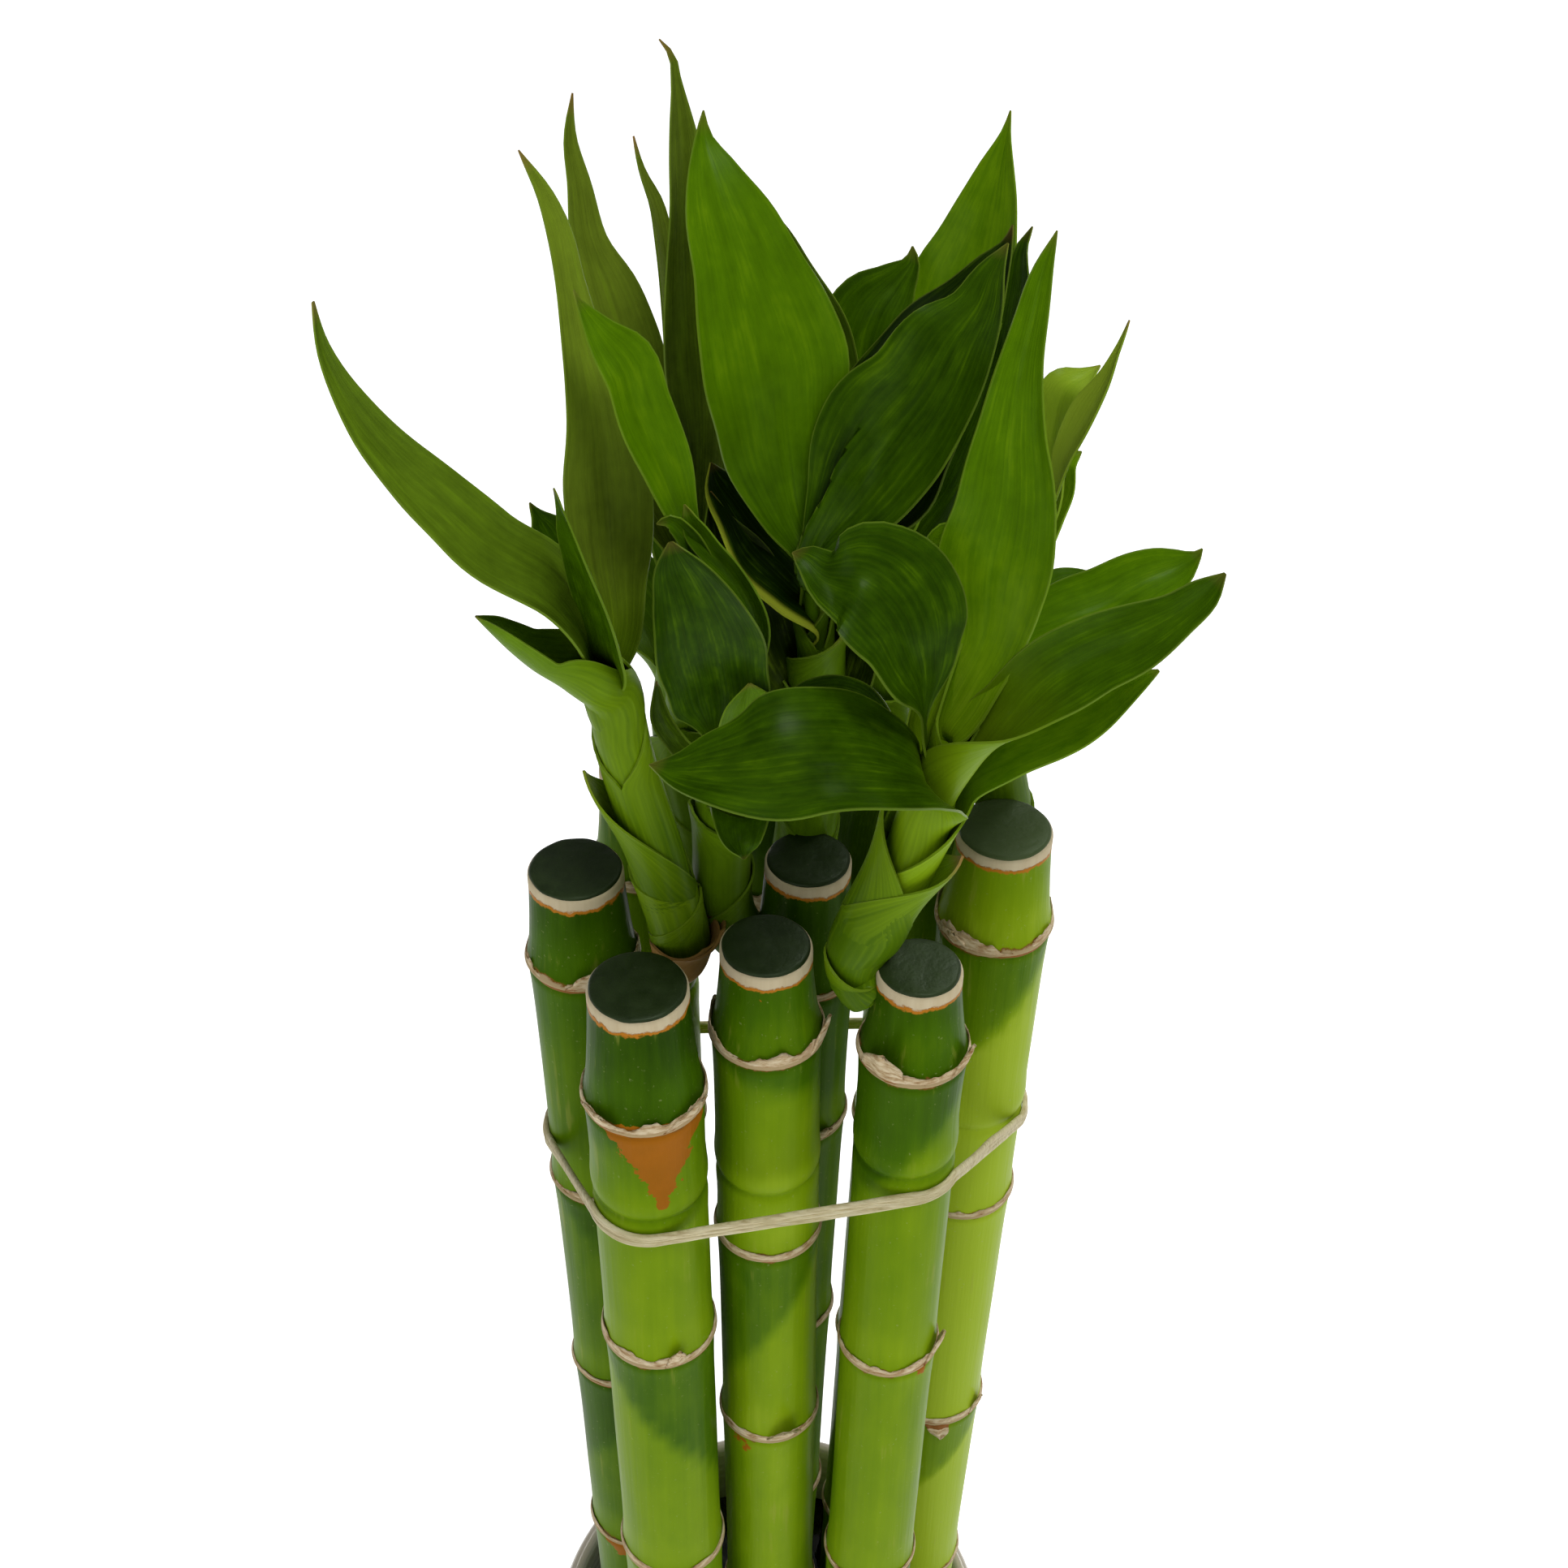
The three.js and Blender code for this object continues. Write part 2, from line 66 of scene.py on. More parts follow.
def add(tree, kind, inputs=(), **settings):
    """A node in a tree, with its settings, and its inputs set or joined."""
    node = tree.nodes.new(kind)
    for key, value in settings.items():
        setattr(node, key, value)
    for socket, value in dict(inputs).items():
        if isinstance(value, bpy.types.NodeSocket):
            tree.links.new(value, node.inputs[socket])
        else:
            node.inputs[socket].default_value = value
    return node


def calc(tree, operation, *values):
    """The outcome of one sum in a tree."""
    return add(tree, "ShaderNodeMath", dict(enumerate(values)), operation=operation).outputs[0]


def plus(tree, first, second):
    return calc(tree, "ADD", first, second)


def times(tree, first, second):
    return calc(tree, "MULTIPLY", first, second)


def span(tree, value, start, end, low=0.0, high=1.0):
    """A value carried from one range to another, held at both ends."""
    inputs = {"Value": value, "From Min": start, "From Max": end, "To Min": low, "To Max": high}
    return add(tree, "ShaderNodeMapRange", inputs).outputs["Result"]


def object_place(tree):
    """Coordinates of the piece itself, in metres."""
    return add(tree, "ShaderNodeTexCoord").outputs["Object"]


def mottle(tree, vector, size, detail=3.0, roughness=0.55):
    """Cloudy variation from 0 to 1; a size of three numbers draws it out differently each way."""
    if isinstance(size, tuple):
        vector = add(tree, "ShaderNodeMapping", {"Vector": vector, "Scale": size}).outputs[0]
        size = 1.0
    inputs = {"Vector": vector, "Scale": size, "Detail": detail, "Roughness": roughness}
    return add(tree, "ShaderNodeTexNoise", inputs).outputs[0]


def overlay(tree, share, under, over):
    """One colour laid over another, by a share from 0 to 1."""
    under, over = ((*colour, 1) if isinstance(colour, tuple) else colour for colour in (under, over))
    return add(tree, "ShaderNodeMix", {0: share, 6: under, 7: over}, data_type="RGBA").outputs[2]


def new_finish(name, **constants):
    """A material, its node tree and its shader, with the shader's fixed values set."""
    finish = bpy.data.materials.new(name)
    finish.use_nodes = True
    tree = finish.node_tree
    shader = tree.nodes["Principled BSDF"]
    for label, value in constants.items():
        shader.inputs[label.replace("_", " ")].default_value = value
    return finish, tree, shader


def dress(tree, shader, colour, height, depth, rough=None):
    """The shader's colour, its fine relief with a depth in metres, and a roughness that varies."""
    tree.links.new(colour, shader.inputs["Base Color"])
    if rough is not None:
        tree.links.new(rough, shader.inputs["Roughness"])
    bump = add(tree, "ShaderNodeBump", {"Height": height, "Distance": depth})
    tree.links.new(bump.outputs["Normal"], shader.inputs["Normal"])


def skin_faces(rows, sides):
    """Faces of a skin of rings, closed by a pole at each end."""
    faces = []
    for row in range(rows - 1):
        for side in range(sides):
            here = row * sides + side
            beside = row * sides + (side + 1) % sides
            faces.append((here, beside, beside + sides, here + sides))
    foot, head = rows * sides, rows * sides + 1
    last = (rows - 1) * sides
    for side in range(sides):
        after = (side + 1) % sides
        faces.append((foot, after, side))
        faces.append((head, last + side, last + after))
    return faces


def turned_points(profile, sides, foot, head):
    """Points of a turned shape: rings of its profile, then the two poles on its axis."""
    angles = np.arange(sides) * 2 * math.pi / sides
    rings = [
        np.stack([radius * np.cos(angles), radius * np.sin(angles), np.full(sides, height)], 1)
        for radius, height in profile
    ]
    return np.vstack(rings + [[(0, 0, foot)], [(0, 0, head)]])


def paint(mesh, label, numbers):
    """One value painted on each point of a mesh."""
    layer = mesh.attributes.new(label, "FLOAT", "POINT")
    layer.data.foreach_set("value", np.asarray(numbers, np.float32))


def place_mesh(name, mesh):
    """A mesh put in the scene as an object at the origin."""
    piece = bpy.data.objects.new(name, mesh)
    bpy.context.scene.collection.objects.link(piece)
    return piece


def build_piece(name, points, faces, finish, sharp=50, **values):
    """A piece from points in millimetres, with values painted on its points."""
    mesh = bpy.data.meshes.new(name)
    mesh.from_pydata((np.asarray(points) * MM).tolist(), [], faces)
    shaped = bmesh.new()
    shaped.from_mesh(mesh)
    bmesh.ops.recalc_face_normals(shaped, faces=shaped.faces)
    shaped.to_mesh(mesh)
    shaped.free()
    mesh.shade_smooth()
    mesh.set_sharp_from_angle(angle=math.radians(sharp))
    for label, numbers in values.items():
        paint(mesh, label, numbers)
    mesh.materials.append(finish)
    return place_mesh(name, mesh)


def glazed_clay():
    finish, tree, shader = new_finish("glaze", Roughness=0.22, Coat_Weight=0.35, Coat_Roughness=0.12)
    place = object_place(tree)
    height = add(tree, "ShaderNodeSeparateXYZ", {0: place}).outputs["Z"]
    cloud = mottle(tree, place, 38.0)
    colour = overlay(tree, span(tree, cloud, 0.35, 0.7), GLAZE, GLAZE_CLOUD)
    speck = mottle(tree, place, 900.0, 2.0)
    colour = overlay(tree, span(tree, speck, 0.70, 0.76, 0.0, 0.6), colour, IRON_SPECK)
    colour = overlay(tree, span(tree, height, *LIP_BAND, 0.0, 0.45), colour, THIN_GLAZE)
    foot = span(tree, plus(tree, height, times(tree, cloud, 0.0012)), *FOOT_BAND)
    colour = overlay(tree, foot, colour, BARE_CLAY)
    throwing_rings = mottle(tree, place, (4.0, 4.0, 420.0), 2.0)
    dress(tree, shader, colour, throwing_rings, 0.0004, span(tree, foot, 0.0, 1.0, 0.22, 0.85))
    return finish


vase = build_piece(
    "glazed_vase",
    turned_points(VASE_PROFILE, VASE_SIDES, 0, VASE_FLOOR),
    skin_faces(len(VASE_PROFILE), VASE_SIDES),
    glazed_clay(),
)
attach(vase, "root")
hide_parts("vase")


# Water: clear and still, filling the vase to a finger's width below its lip. The part's own solid
# has the right shape, so it stays and only takes a finish.
WATER_TINT, WATER_CLEAR = (0.80, 0.90, 0.80), (0.88, 0.95, 0.86)


def clear_water():
    finish, tree, shader = new_finish("water", Roughness=0.02, IOR=1.333, Transmission_Weight=1.0)
    place = object_place(tree)
    tint = overlay(tree, span(tree, mottle(tree, place, 30.0), 0.3, 0.7), WATER_TINT, WATER_CLEAR)
    dress(tree, shader, tint, mottle(tree, place, 90.0, 1.0), 0.0002)
    return finish


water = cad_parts["water"]
water.data.materials.clear()
water.data.materials.append(clear_water())


# Canes: lengths of living stem, cut level and stood side by side. Each swells at the scars where
# leaves once wrapped it, and narrows above the topmost one to its cut. Most have a soft groove too.
CANE_FOOT = 5.3
CANE_TOP = 284.4
CANE_SIDES = 60
# A cane's row: the middle of its foot and of its cut, its radius between joints and at the cut, the
# heights of its scars and of its groove, and how light it is, with its crown above the first scar.
# A shade is a painted shadow below a scar: the scar, the compass of its lowest point, and its depth.
# A stain is rust that runs down from a height: compass, half its width in degrees, depth, strength.
CANES = {
    "cane_1": {
        "foot": (-14, -21.5), "top": (-18.7, -21.8), "body": 8.1, "cut": 6.8,
        "scars": (265, 213, 155, 99, 45), "groove": 246, "light": 0.62, "crown": 0.30,
        "shade": ((213, 0, 38), (265, 150, 9)),
        "stains": ((265.5, -68, 78, 7, 1.0), (265.5, -72, 46, 16.5, 1.0)),
    },
    "cane_2": {
        "foot": (1.5, -11.5), "top": (-2, -13.7), "body": 7.5, "cut": 6.3,
        "scars": (269, 227, 180, 126, 70), "groove": 241, "light": 0.76, "crown": 0.80,
        "shade": ((227, 180, 40), (269, 0, 10)),
        "stains": ((180, -125, 35, 7, 0.45), (284, -95, 12, 9, 0.4)),
    },
    "cane_3": {
        "foot": (15.5, -21), "top": (18.4, -17.4), "body": 7.2, "cut": 5.8,
        "scars": (270, 206, 148, 92, 38), "groove": 250, "light": 0.60, "crown": 0.50,
        "shade": ((270, 190, 30), (148, 10, 34)),
        "stains": ((206, -50, 25, 4, 0.6),),
    },
    "cane_4": {
        "foot": (-22, -1.5), "top": (-28.7, 0.8), "body": 7.6, "cut": 6.7,
        "scars": (269, 223, 176, 128, 78), "groove": None, "light": 0.38, "crown": 0.75,
        "shade": ((223, 20, 30), (176, 180, 30)),
        "stains": ((128, -100, 50, 5, 0.7),),
    },
    # The middle cane's low light is painted shade, deep inside the bundle.
    "cane_5": {
        "foot": (-1, 6.5), "top": (3.6, 3.7), "body": 7.3, "cut": 6.1,
        "scars": (264, 233, 184, 132, 80), "groove": None, "light": 0.34, "crown": 0.75,
        "shade": ((264, 180, 20),),
        "stains": (),
    },
    "cane_6": {
        "foot": (25.5, 7), "top": (31.5, 10.8), "body": 8.1, "cut": 6.9,
        "scars": (268, 210, 154, 104, 52), "groove": 230, "light": 1.16, "crown": 1.30,
        "shade": ((268, 180, 36), (154, 180, 36)),
        "stains": ((176, -95, 12, 2.5, 0.5),),
    },
    "cane_7": {
        "foot": (16.5, 22), "top": (22, 27), "body": 7.4, "cut": 6.2,
        "scars": (266, 208, 150, 94, 40), "groove": 240, "light": 0.6, "crown": 0.9,
        "shade": ((208, 60, 34),),
        "stains": ((150, 80, 40, 6, 0.6),),
    },
    "cane_8": {
        "foot": (-17.5, 18.5), "top": (-21, 23.5), "body": 7.4, "cut": 6.2,
        "scars": (267, 211, 158, 104, 50), "groove": 242, "light": 0.68, "crown": 0.8,
        "shade": ((211, 120, 36), (104, 60, 30)),
        "stains": ((267, 110, 40, 9, 0.8),),
    },
    "cane_9": {
        "foot": (-0.5, 24.5), "top": (0, 21), "body": 7.3, "cut": 6.1,
        "scars": (265, 205, 146, 90, 36), "groove": 238, "light": 0.65, "crown": 0.9,
        "shade": ((205, 90, 30),),
        "stains": (),
    },
}
# Heights of the rings of skin: an even step, and closer round each scar and groove and below the cut.
PLAIN_STEP = 3.4
SCAR_STEPS = (-4, -2.6, -1.8, -1.3, -1, -0.7, -0.35, 0, 0.35, 0.8, 1.6, 2.8, 4.5)
GROOVE_STEPS = (-3.4, -2, -1.2, -0.7, -0.3, 0, 0.3, 0.7, 1.3, 2.2, 3.2, 4.6)
CUT_STEPS = (8, 6.4, 5, 4, 3.2, 2.4, 1.8, 1.2, 0.7)
CLOSEST_RINGS = 0.2
# The worn rim of a cut: how far in from the skin and how far below the cut each ring is.
CUT_RIM = ((0.03, 0.35), (0.14, 0.1), (0.32, 0), (0.5, 0.12), (0.9, 0.2))
CUT_DISH = 0.2
SCAR_SWELL = 0.45
SCAR_LIP = 0.25
GROOVE_DEPTH = 0.42
SKIN_WAVER = 0.014
SHELTER_REACH = 21
CANE_GREENS = [
    (0.0, (0.018, 0.052, 0.001)), (0.25, (0.052, 0.128, 0.001)), (0.5, (0.128, 0.235, 0.002)),
    (0.75, (0.205, 0.325, 0.004)), (1.0, (0.33, 0.46, 0.022)),
]
CANE_FLECK = (0.38, 0.42, 0.16)
CANE_BLOTCH = (0.30, 0.32, 0.05)
RUST, DARK_RUST = (0.40, 0.13, 0.008), (0.27, 0.10, 0.005)
SCAR_EDGE, SCAR_MIDDLE = (0.20, 0.085, 0.016), (0.44, 0.33, 0.18)
CUT_EDGE = (0.46, 0.17, 0.015)
PITH, DARK_PITH = (0.66, 0.58, 0.40), (0.50, 0.40, 0.24)


def cane_centre(cane, height):
    """Centre of a cane at a height, or at each of several."""
    share = (np.asarray(height, float) - CANE_FOOT) / (CANE_TOP - CANE_FOOT)
    foot, top = np.array(cane["foot"]), np.array(cane["top"])
    return foot + share[..., None] * (top - foot)


def swell(distance, reach):
    """1 at a place, and fading away on both sides of it."""
    return np.exp(-((distance / reach) ** 2))


def cane_girth(cane, height):
    """Radius of a cane's skin at each height: wider at a scar, drawn in at the groove and the cut."""
    radius = np.full(len(height), cane["body"], float)
    neck_foot, neck_head = max(cane["scars"]) + 0.5, CANE_TOP - 3
    share = np.clip((height - neck_foot) / (neck_head - neck_foot), 0, 1)
    radius += share ** 0.75 * (cane["cut"] - cane["body"])
    for scar in cane["scars"]:
        above = height - scar
        radius += np.where(above > 0, SCAR_SWELL * np.exp(-above / 2.2), SCAR_SWELL * np.exp(above / 3.5))
        radius += SCAR_LIP * swell(above, 0.5) - SCAR_LIP * swell(above + 1.0, 0.4)
    if cane["groove"]:
        above = height - cane["groove"]
        radius += 0.26 * swell(above - 3.0, 2.4) - GROOVE_DEPTH * swell(above, 0.75)
        radius += 0.12 * swell(above + 2.4, 1.8)
    return radius


def cane_heights(cane):
    """Heights of a cane's rings, close together where its skin changes."""
    heights = list(np.arange(CANE_FOOT, CANE_TOP - CUT_STEPS[0], PLAIN_STEP))
    heights += [scar + step for scar in cane["scars"] for step in SCAR_STEPS]
    if cane["groove"]:
        heights += [cane["groove"] + step for step in GROOVE_STEPS]
    heights = np.sort(heights + [CANE_TOP - step for step in CUT_STEPS])
    return heights[np.append(np.diff(heights) > CLOSEST_RINGS, True)]


def off_compass(angle, compass):
    """Degrees from a compass direction to each angle, which is in radians."""
    return np.abs((np.degrees(angle) - compass + 180) % 360 - 180)


def cane_tone(cane, height, angle):
    """How light the green is at each point: dark near the cut, with painted shadows slanting below some
    scars.
    """
    first = max(cane["scars"])
    tone = np.full(height.shape, cane["light"])
    below = np.clip((first - height) / 26, 0, 1)
    crown = cane["crown"] * (0.36 + 0.14 * np.clip((CANE_TOP - height) / 15, 0, 1))
    tone *= np.where(height > first, crown, 0.62 + 0.38 * below)
    # Each shade darkens the green below its scar: a painted shadow, deepest at its compass.
    for scar, compass, depth in cane["shade"]:
        reach = depth * np.clip(1 - off_compass(angle, compass) / 180, 0, 1)
        inside = np.clip((reach - (scar - height)) / 5 + 0.5, 0, 1) * (height < scar)
        tone *= 1 - 0.52 * inside * inside * (3 - 2 * inside)
    for low in cane["scars"]:
        tone += 0.10 * swell(height - low - 5, 4) * (height > low)
    # Painted shade darkens the groove, and a painted highlight lightens the swell just above it.
    if cane["groove"]:
        above = height - cane["groove"]
        tone += 0.08 * swell(above - 3, 2.2) - 0.12 * swell(above, 0.8)
    return tone


def neighbour_shade(name, height, angle):
    """How closely another cane stands by each point of a cane's skin, where painted shade darkens it."""
    shelter = np.zeros(height.shape)
    own = cane_centre(CANES[name], height)
    for other, cane in CANES.items():
        if other == name:
            continue
        way = cane_centre(cane, height) - own
        near = np.clip((SHELTER_REACH - np.hypot(way[:, 0], way[:, 1])) / 5, 0, 1)
        off = (angle - np.arctan2(way[:, 1], way[:, 0]) + math.pi) % (2 * math.pi) - math.pi
        shelter = np.maximum(shelter, near * swell(off, 0.7))
    return shelter


def cane_stain(cane, height, angle):
    """Where a brown stain runs down from a scar, narrowing to a point."""
    stain = np.zeros(height.shape)
    for top, compass, half, depth, strength in cane["stains"]:
        down = (top - height) / depth
        width = half * np.clip(1 - down, 0, 1) ** 0.8
        inside = np.clip((width - off_compass(angle, compass)) / 24 + 0.5, 0, 1)
        stain = np.maximum(stain, inside * (down > -0.03) * (down < 1) * strength)
    return stain


def shades(tree, value, stops):
    """A colour read off a row of stops."""
    node = add(tree, "ShaderNodeValToRGB", {"Fac": value})
    ramp = node.color_ramp
    while len(ramp.elements) < len(stops):
        ramp.elements.new(0.5)
    for element, (place, colour) in zip(ramp.elements, stops):
        element.position = place
        element.color = (*colour, 1)
    return node.outputs["Color"]


def painted(tree, name):
    """A value painted on the mesh, point by point."""
    return add(tree, "ShaderNodeAttribute", attribute_name=name).outputs["Fac"]


def swing(tree, cloud, low, high):
    """Cloudy variation carried from its usual range to another."""
    return span(tree, cloud, 0.3, 0.7, low, high)


def cane_green(tree, place, fibres, clouds):
    """The green of a cane: its painted tone, with clouds, fibres, pale flecks and blotches."""
    tone = plus(tree, painted(tree, "tone"), swing(tree, clouds, -0.07, 0.07))
    tone = plus(tree, tone, swing(tree, fibres, -0.035, 0.035))
    colour = shades(tree, tone, CANE_GREENS)
    flecks = mottle(tree, place, 1500.0, 2.0)
    colour = overlay(tree, span(tree, flecks, 0.68, 0.74, 0.0, 0.25), colour, CANE_FLECK)
    blotches = mottle(tree, place, (170.0, 170.0, 90.0), 2.0)
    blotched = span(tree, times(tree, blotches, fibres), 0.36, 0.44, 0.0, 0.30)
    return overlay(tree, blotched, colour, CANE_BLOTCH)


def cane_skin():
    finish, tree, shader = new_finish(
        "cane_skin", Specular_IOR_Level=0.025, Specular_Tint=(0.8, 1.0, 0.1, 1), Coat_Weight=0.006,
        Coat_Roughness=0.25,
    )
    place = object_place(tree)
    fibres = mottle(tree, place, (900.0, 900.0, 28.0), 4.0)
    clouds = mottle(tree, place, (140.0, 140.0, 60.0), 3.0)
    ragged = mottle(tree, place, 420.0, 4.0, 0.65)
    colour = cane_green(tree, place, fibres, clouds)
    stain = plus(tree, times(tree, painted(tree, "stain"), 1.6), swing(tree, ragged, -0.92, 0.32))
    rust = overlay(tree, mottle(tree, place, 260.0), RUST, DARK_RUST)
    colour = overlay(tree, span(tree, stain, 0.47, 0.53), colour, rust)
    scarred = plus(tree, painted(tree, "from_scar"), swing(tree, ragged, -0.5, 0.5))
    colour = overlay(tree, span(tree, scarred, 1.05, 0.75), colour, SCAR_EDGE)
    colour = overlay(tree, span(tree, scarred, 0.75, 0.45), colour, SCAR_MIDDLE)
    cut = plus(tree, painted(tree, "from_cut"), swing(tree, ragged, -0.5, 0.5))
    colour = overlay(tree, span(tree, cut, 2.50, 2.25), colour, CUT_EDGE)
    bare = span(tree, cut, 1.90, 1.60)
    colour = overlay(tree, bare, colour, overlay(tree, fibres, PITH, DARK_PITH))
    height = calc(tree, "SUBTRACT", times(tree, fibres, 0.5), times(tree, bare, 0.8))
    rough = plus(tree, swing(tree, clouds, 0.30, 0.40), span(tree, bare, 0, 1, 0, 0.4))
    dress(tree, shader, colour, height, 0.00022, rough)
    return finish


def waver(angle, size, depth):
    """A random swell that closes on itself round a circle."""
    return noise.noise(Vector((math.cos(angle) * size, math.sin(angle) * size, depth)))


skin = cane_skin()
angles = np.arange(CANE_SIDES) * 2 * math.pi / CANE_SIDES
for number, (name, cane) in enumerate(CANES.items()):
    heights = cane_heights(cane)
    inset, drop = np.array(CUT_RIM).T
    girths = np.concatenate([cane_girth(cane, heights), cane["cut"] - inset])
    heights = np.concatenate([heights, CANE_TOP - drop])
    points = []
    for girth, height, (x, y) in zip(girths, heights, cane_centre(cane, heights)):
        for angle in angles:
            radius = girth * (1 + SKIN_WAVER * waver(angle, 1.2, height / 26 + 40 * number))
            points.append((x + radius * math.cos(angle), y + radius * math.sin(angle), height))
    points.append((*cane["foot"], CANE_FOOT))
    points.append((*cane["top"], CANE_TOP - CUT_DISH))
    tall = np.append(np.repeat(heights, CANE_SIDES), [CANE_FOOT, CANE_TOP - CUT_DISH])
    around = np.append(np.tile(angles, len(heights)), [0, 0])
    piece = build_piece(
        name + "_stem", points, skin_faces(len(heights), CANE_SIDES), skin,
        # Painted shade darkens the green where other canes stand close.
        tone=cane_tone(cane, tall, around) * (1 - 0.6 * neighbour_shade(name, tall, around)),
        stain=cane_stain(cane, tall, around),
        from_scar=np.abs(tall[:, None] - np.array(cane["scars"])).min(1),
        from_cut=CANE_TOP - tall,
    )
    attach(piece, "root")
    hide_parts(name)


# Wax: each cut is dipped in dark green sealing wax, which sets as a thin cap with a soft edge and
# keeps the cane from drying out. Where it is thin, the pith shows through.
WAX_SIDES = 64
WAX_INSET = 0.40
WAX_HEIGHT = 0.5
# The edge of a cap: how far past its width, and how far above the cut, each ring is.
WAX_EDGE = ((-0.2, -0.25), (0.08, -0.05), (0.1, 0.12), (-0.12, 0.36), (-0.5, 0.46))
WAX_WAVER = 0.022
# How thin the wax is on a few of the cuts, from 0 to 1.
THIN_WAX = {"cane_6": 0.9, "cane_3": 0.08, "cane_8": 0.25}
WAX_DARK, WAX_LIGHT = (0.009, 0.018, 0.003), (0.018, 0.032, 0.007)
WAX_THIN = (0.062, 0.092, 0.031)
WAX_CHIP = (0.09, 0.10, 0.05)


def sealing_wax():
    finish, tree, shader = new_finish("sealing_wax", Specular_IOR_Level=0.35, Specular_Tint=(0.8, 1, 0.7, 1))
    place = object_place(tree)
    cloud = mottle(tree, place, 330.0, 4.0)
    colour = overlay(tree, span(tree, cloud, 0.35, 0.7), WAX_DARK, WAX_LIGHT)
    colour = overlay(tree, painted(tree, "thin"), colour, WAX_THIN)
    chips = mottle(tree, place, 1300.0, 2.0)
    colour = overlay(tree, span(tree, chips, 0.74, 0.78, 0.0, 0.5), colour, WAX_CHIP)
    dress(tree, shader, colour, cloud, 0.0003, swing(tree, cloud, 0.42, 0.58))
    return finish


wax = sealing_wax()
for number, (name, cane) in enumerate(CANES.items()):
    reach = cane["cut"] - WAX_INSET
    profile = [(reach + out, CANE_TOP + up) for out, up in WAX_EDGE]
    profile += [(reach * share, CANE_TOP + WAX_HEIGHT) for share in (0.75, 0.4)]
    points = turned_points(profile, WAX_SIDES, profile[0][1], profile[-1][1])
    for point in points:
        point[:2] *= 1 + WAX_WAVER * waver(math.atan2(point[1], point[0]), 2.4, 9.0 * number)
    points[:, :2] += cane["top"]
    seal = name.replace("cane", "wax")
    piece = build_piece(
        seal + "_cap", points, skin_faces(len(profile), WAX_SIDES), wax,
        thin=np.full(len(points), THIN_WAX.get(name, 0.0)),
    )
    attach(piece, "root")
    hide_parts(seal)


# Husks: what is left of the leaf that wrapped each joint, a dry papery collar. It is torn along its
# upper edge, and here and there a flap of it stands off the cane.
# A ring's wall is a share of its cane's radius; the other sizes are in millimetres.
HUSK_WALL = 0.052
HUSK_HEIGHT = 1.5
HUSK_TEAR = 0.9
HUSK_SIDES = 150
HUSK_SAG = 0.45
HUSK_STAND = 0.38
ABOVE_SCAR = 0.35
FLAP_STAND = 0.42
FLAP_THICK = 0.32
FLAP_POINTS = 9
# A flap's row: the height of its root, compass, width, length, how far its tip leans off the cane,
# and 1 where it points up or -1 where it hangs.
FLAPS = {
    "cane_1": ((213, -70, 3.4, 4.4, 1.1, 1), (265, -135, 9.0, 2.4, 0.8, 1), (265, -40, 9.0, 2.6, 0.7, 1)),
    "cane_2": ((180.8, -72, 5.6, 4.2, 2.4, 1), (269, -20, 6.5, 4.4, 1.0, 1)),
    "cane_3": ((270, -128, 8.0, 6.4, 2.0, 1), (206, -26, 6.0, 4.6, 1.2, 1), (270, -30, 6.0, 3.4, 0.9, 1)),
    "cane_4": ((269, -72, 9.0, 4.8, 1.5, 1), (223, -50, 5.0, 3.0, 1.0, 1)),
    "cane_5": ((233, -60, 4.0, 2.6, 0.8, 1),),
    "cane_6": ((154, -88, 5.0, 3.6, 0.7, -1), (268, -140, 6.0, 2.6, 0.8, 1), (154, -35, 4.0, 3.4, 0.8, 1)),
    "cane_7": ((208, 75, 5.0, 4.0, 1.2, 1),),
    "cane_8": ((158, 120, 5.0, 4.4, 1.2, 1), (267, 200, 5.0, 3.0, 0.8, 1)),
    "cane_9": ((205, 95, 4.5, 4.6, 1.3, 1),),
}
# Below this distance under a scar, a husk is the tip of a hanging flap and as pale as an upper edge.
HANGING = -1.1
HUSK_BROWNS = [
    (0.28, (0.22, 0.10, 0.03)), (0.40, (0.44, 0.30, 0.15)), (0.55, (0.64, 0.52, 0.33)),
    (0.75, (0.78, 0.68, 0.48)),
]
HUSK_CLOUD = (0.30, 0.14, 0.04)
HUSK_FOOT = (0.27, 0.105, 0.022)


def dry_husk():
    finish, tree, shader = new_finish("dry_husk", Roughness=0.8, Specular_IOR_Level=0.2)
    place = object_place(tree)
    fibre = mottle(tree, place, (500.0, 500.0, 1500.0), 4.0, 0.65)
    cloud = mottle(tree, place, 230.0, 3.0)
    colour = shades(tree, fibre, HUSK_BROWNS)
    colour = overlay(tree, span(tree, cloud, 0.58, 0.74, 0.0, 0.6), colour, HUSK_CLOUD)
    rise = plus(tree, painted(tree, "rise"), swing(tree, cloud, -0.22, 0.22))
    colour = overlay(tree, span(tree, rise, 0.35, 0.05), colour, HUSK_FOOT)
    dress(tree, shader, colour, fibre, 0.0003)
    return finish


def new_tree(name, sizes):
    """A geometry tree with named inputs."""
    tree = bpy.data.node_groups.new(name, "GeometryNodeTree")
    tree.interface.new_socket("Geometry", in_out="INPUT", socket_type="NodeSocketGeometry")
    for label, kind in sizes.items():
        tree.interface.new_socket(label, in_out="INPUT", socket_type="NodeSocket" + kind)
    tree.interface.new_socket("Geometry", in_out="OUTPUT", socket_type="NodeSocketGeometry")
    return tree, tree.nodes.new("NodeGroupInput").outputs


def close_tree(tree, geometry, finish):
    """The end of a tree: its copies made real, and their material."""
    real = add(tree, "GeometryNodeRealizeInstances", {0: geometry})
    dressed = add(tree, "GeometryNodeSetMaterial", {"Geometry": real.outputs[0], "Material": finish})
    out = tree.nodes.new("NodeGroupOutput")
    tree.links.new(dressed.outputs[0], out.inputs[0])


def vector(tree, x=0.0, y=0.0, z=0.0):
    return add(tree, "ShaderNodeCombineXYZ", {"X": x, "Y": y, "Z": z}).outputs[0]


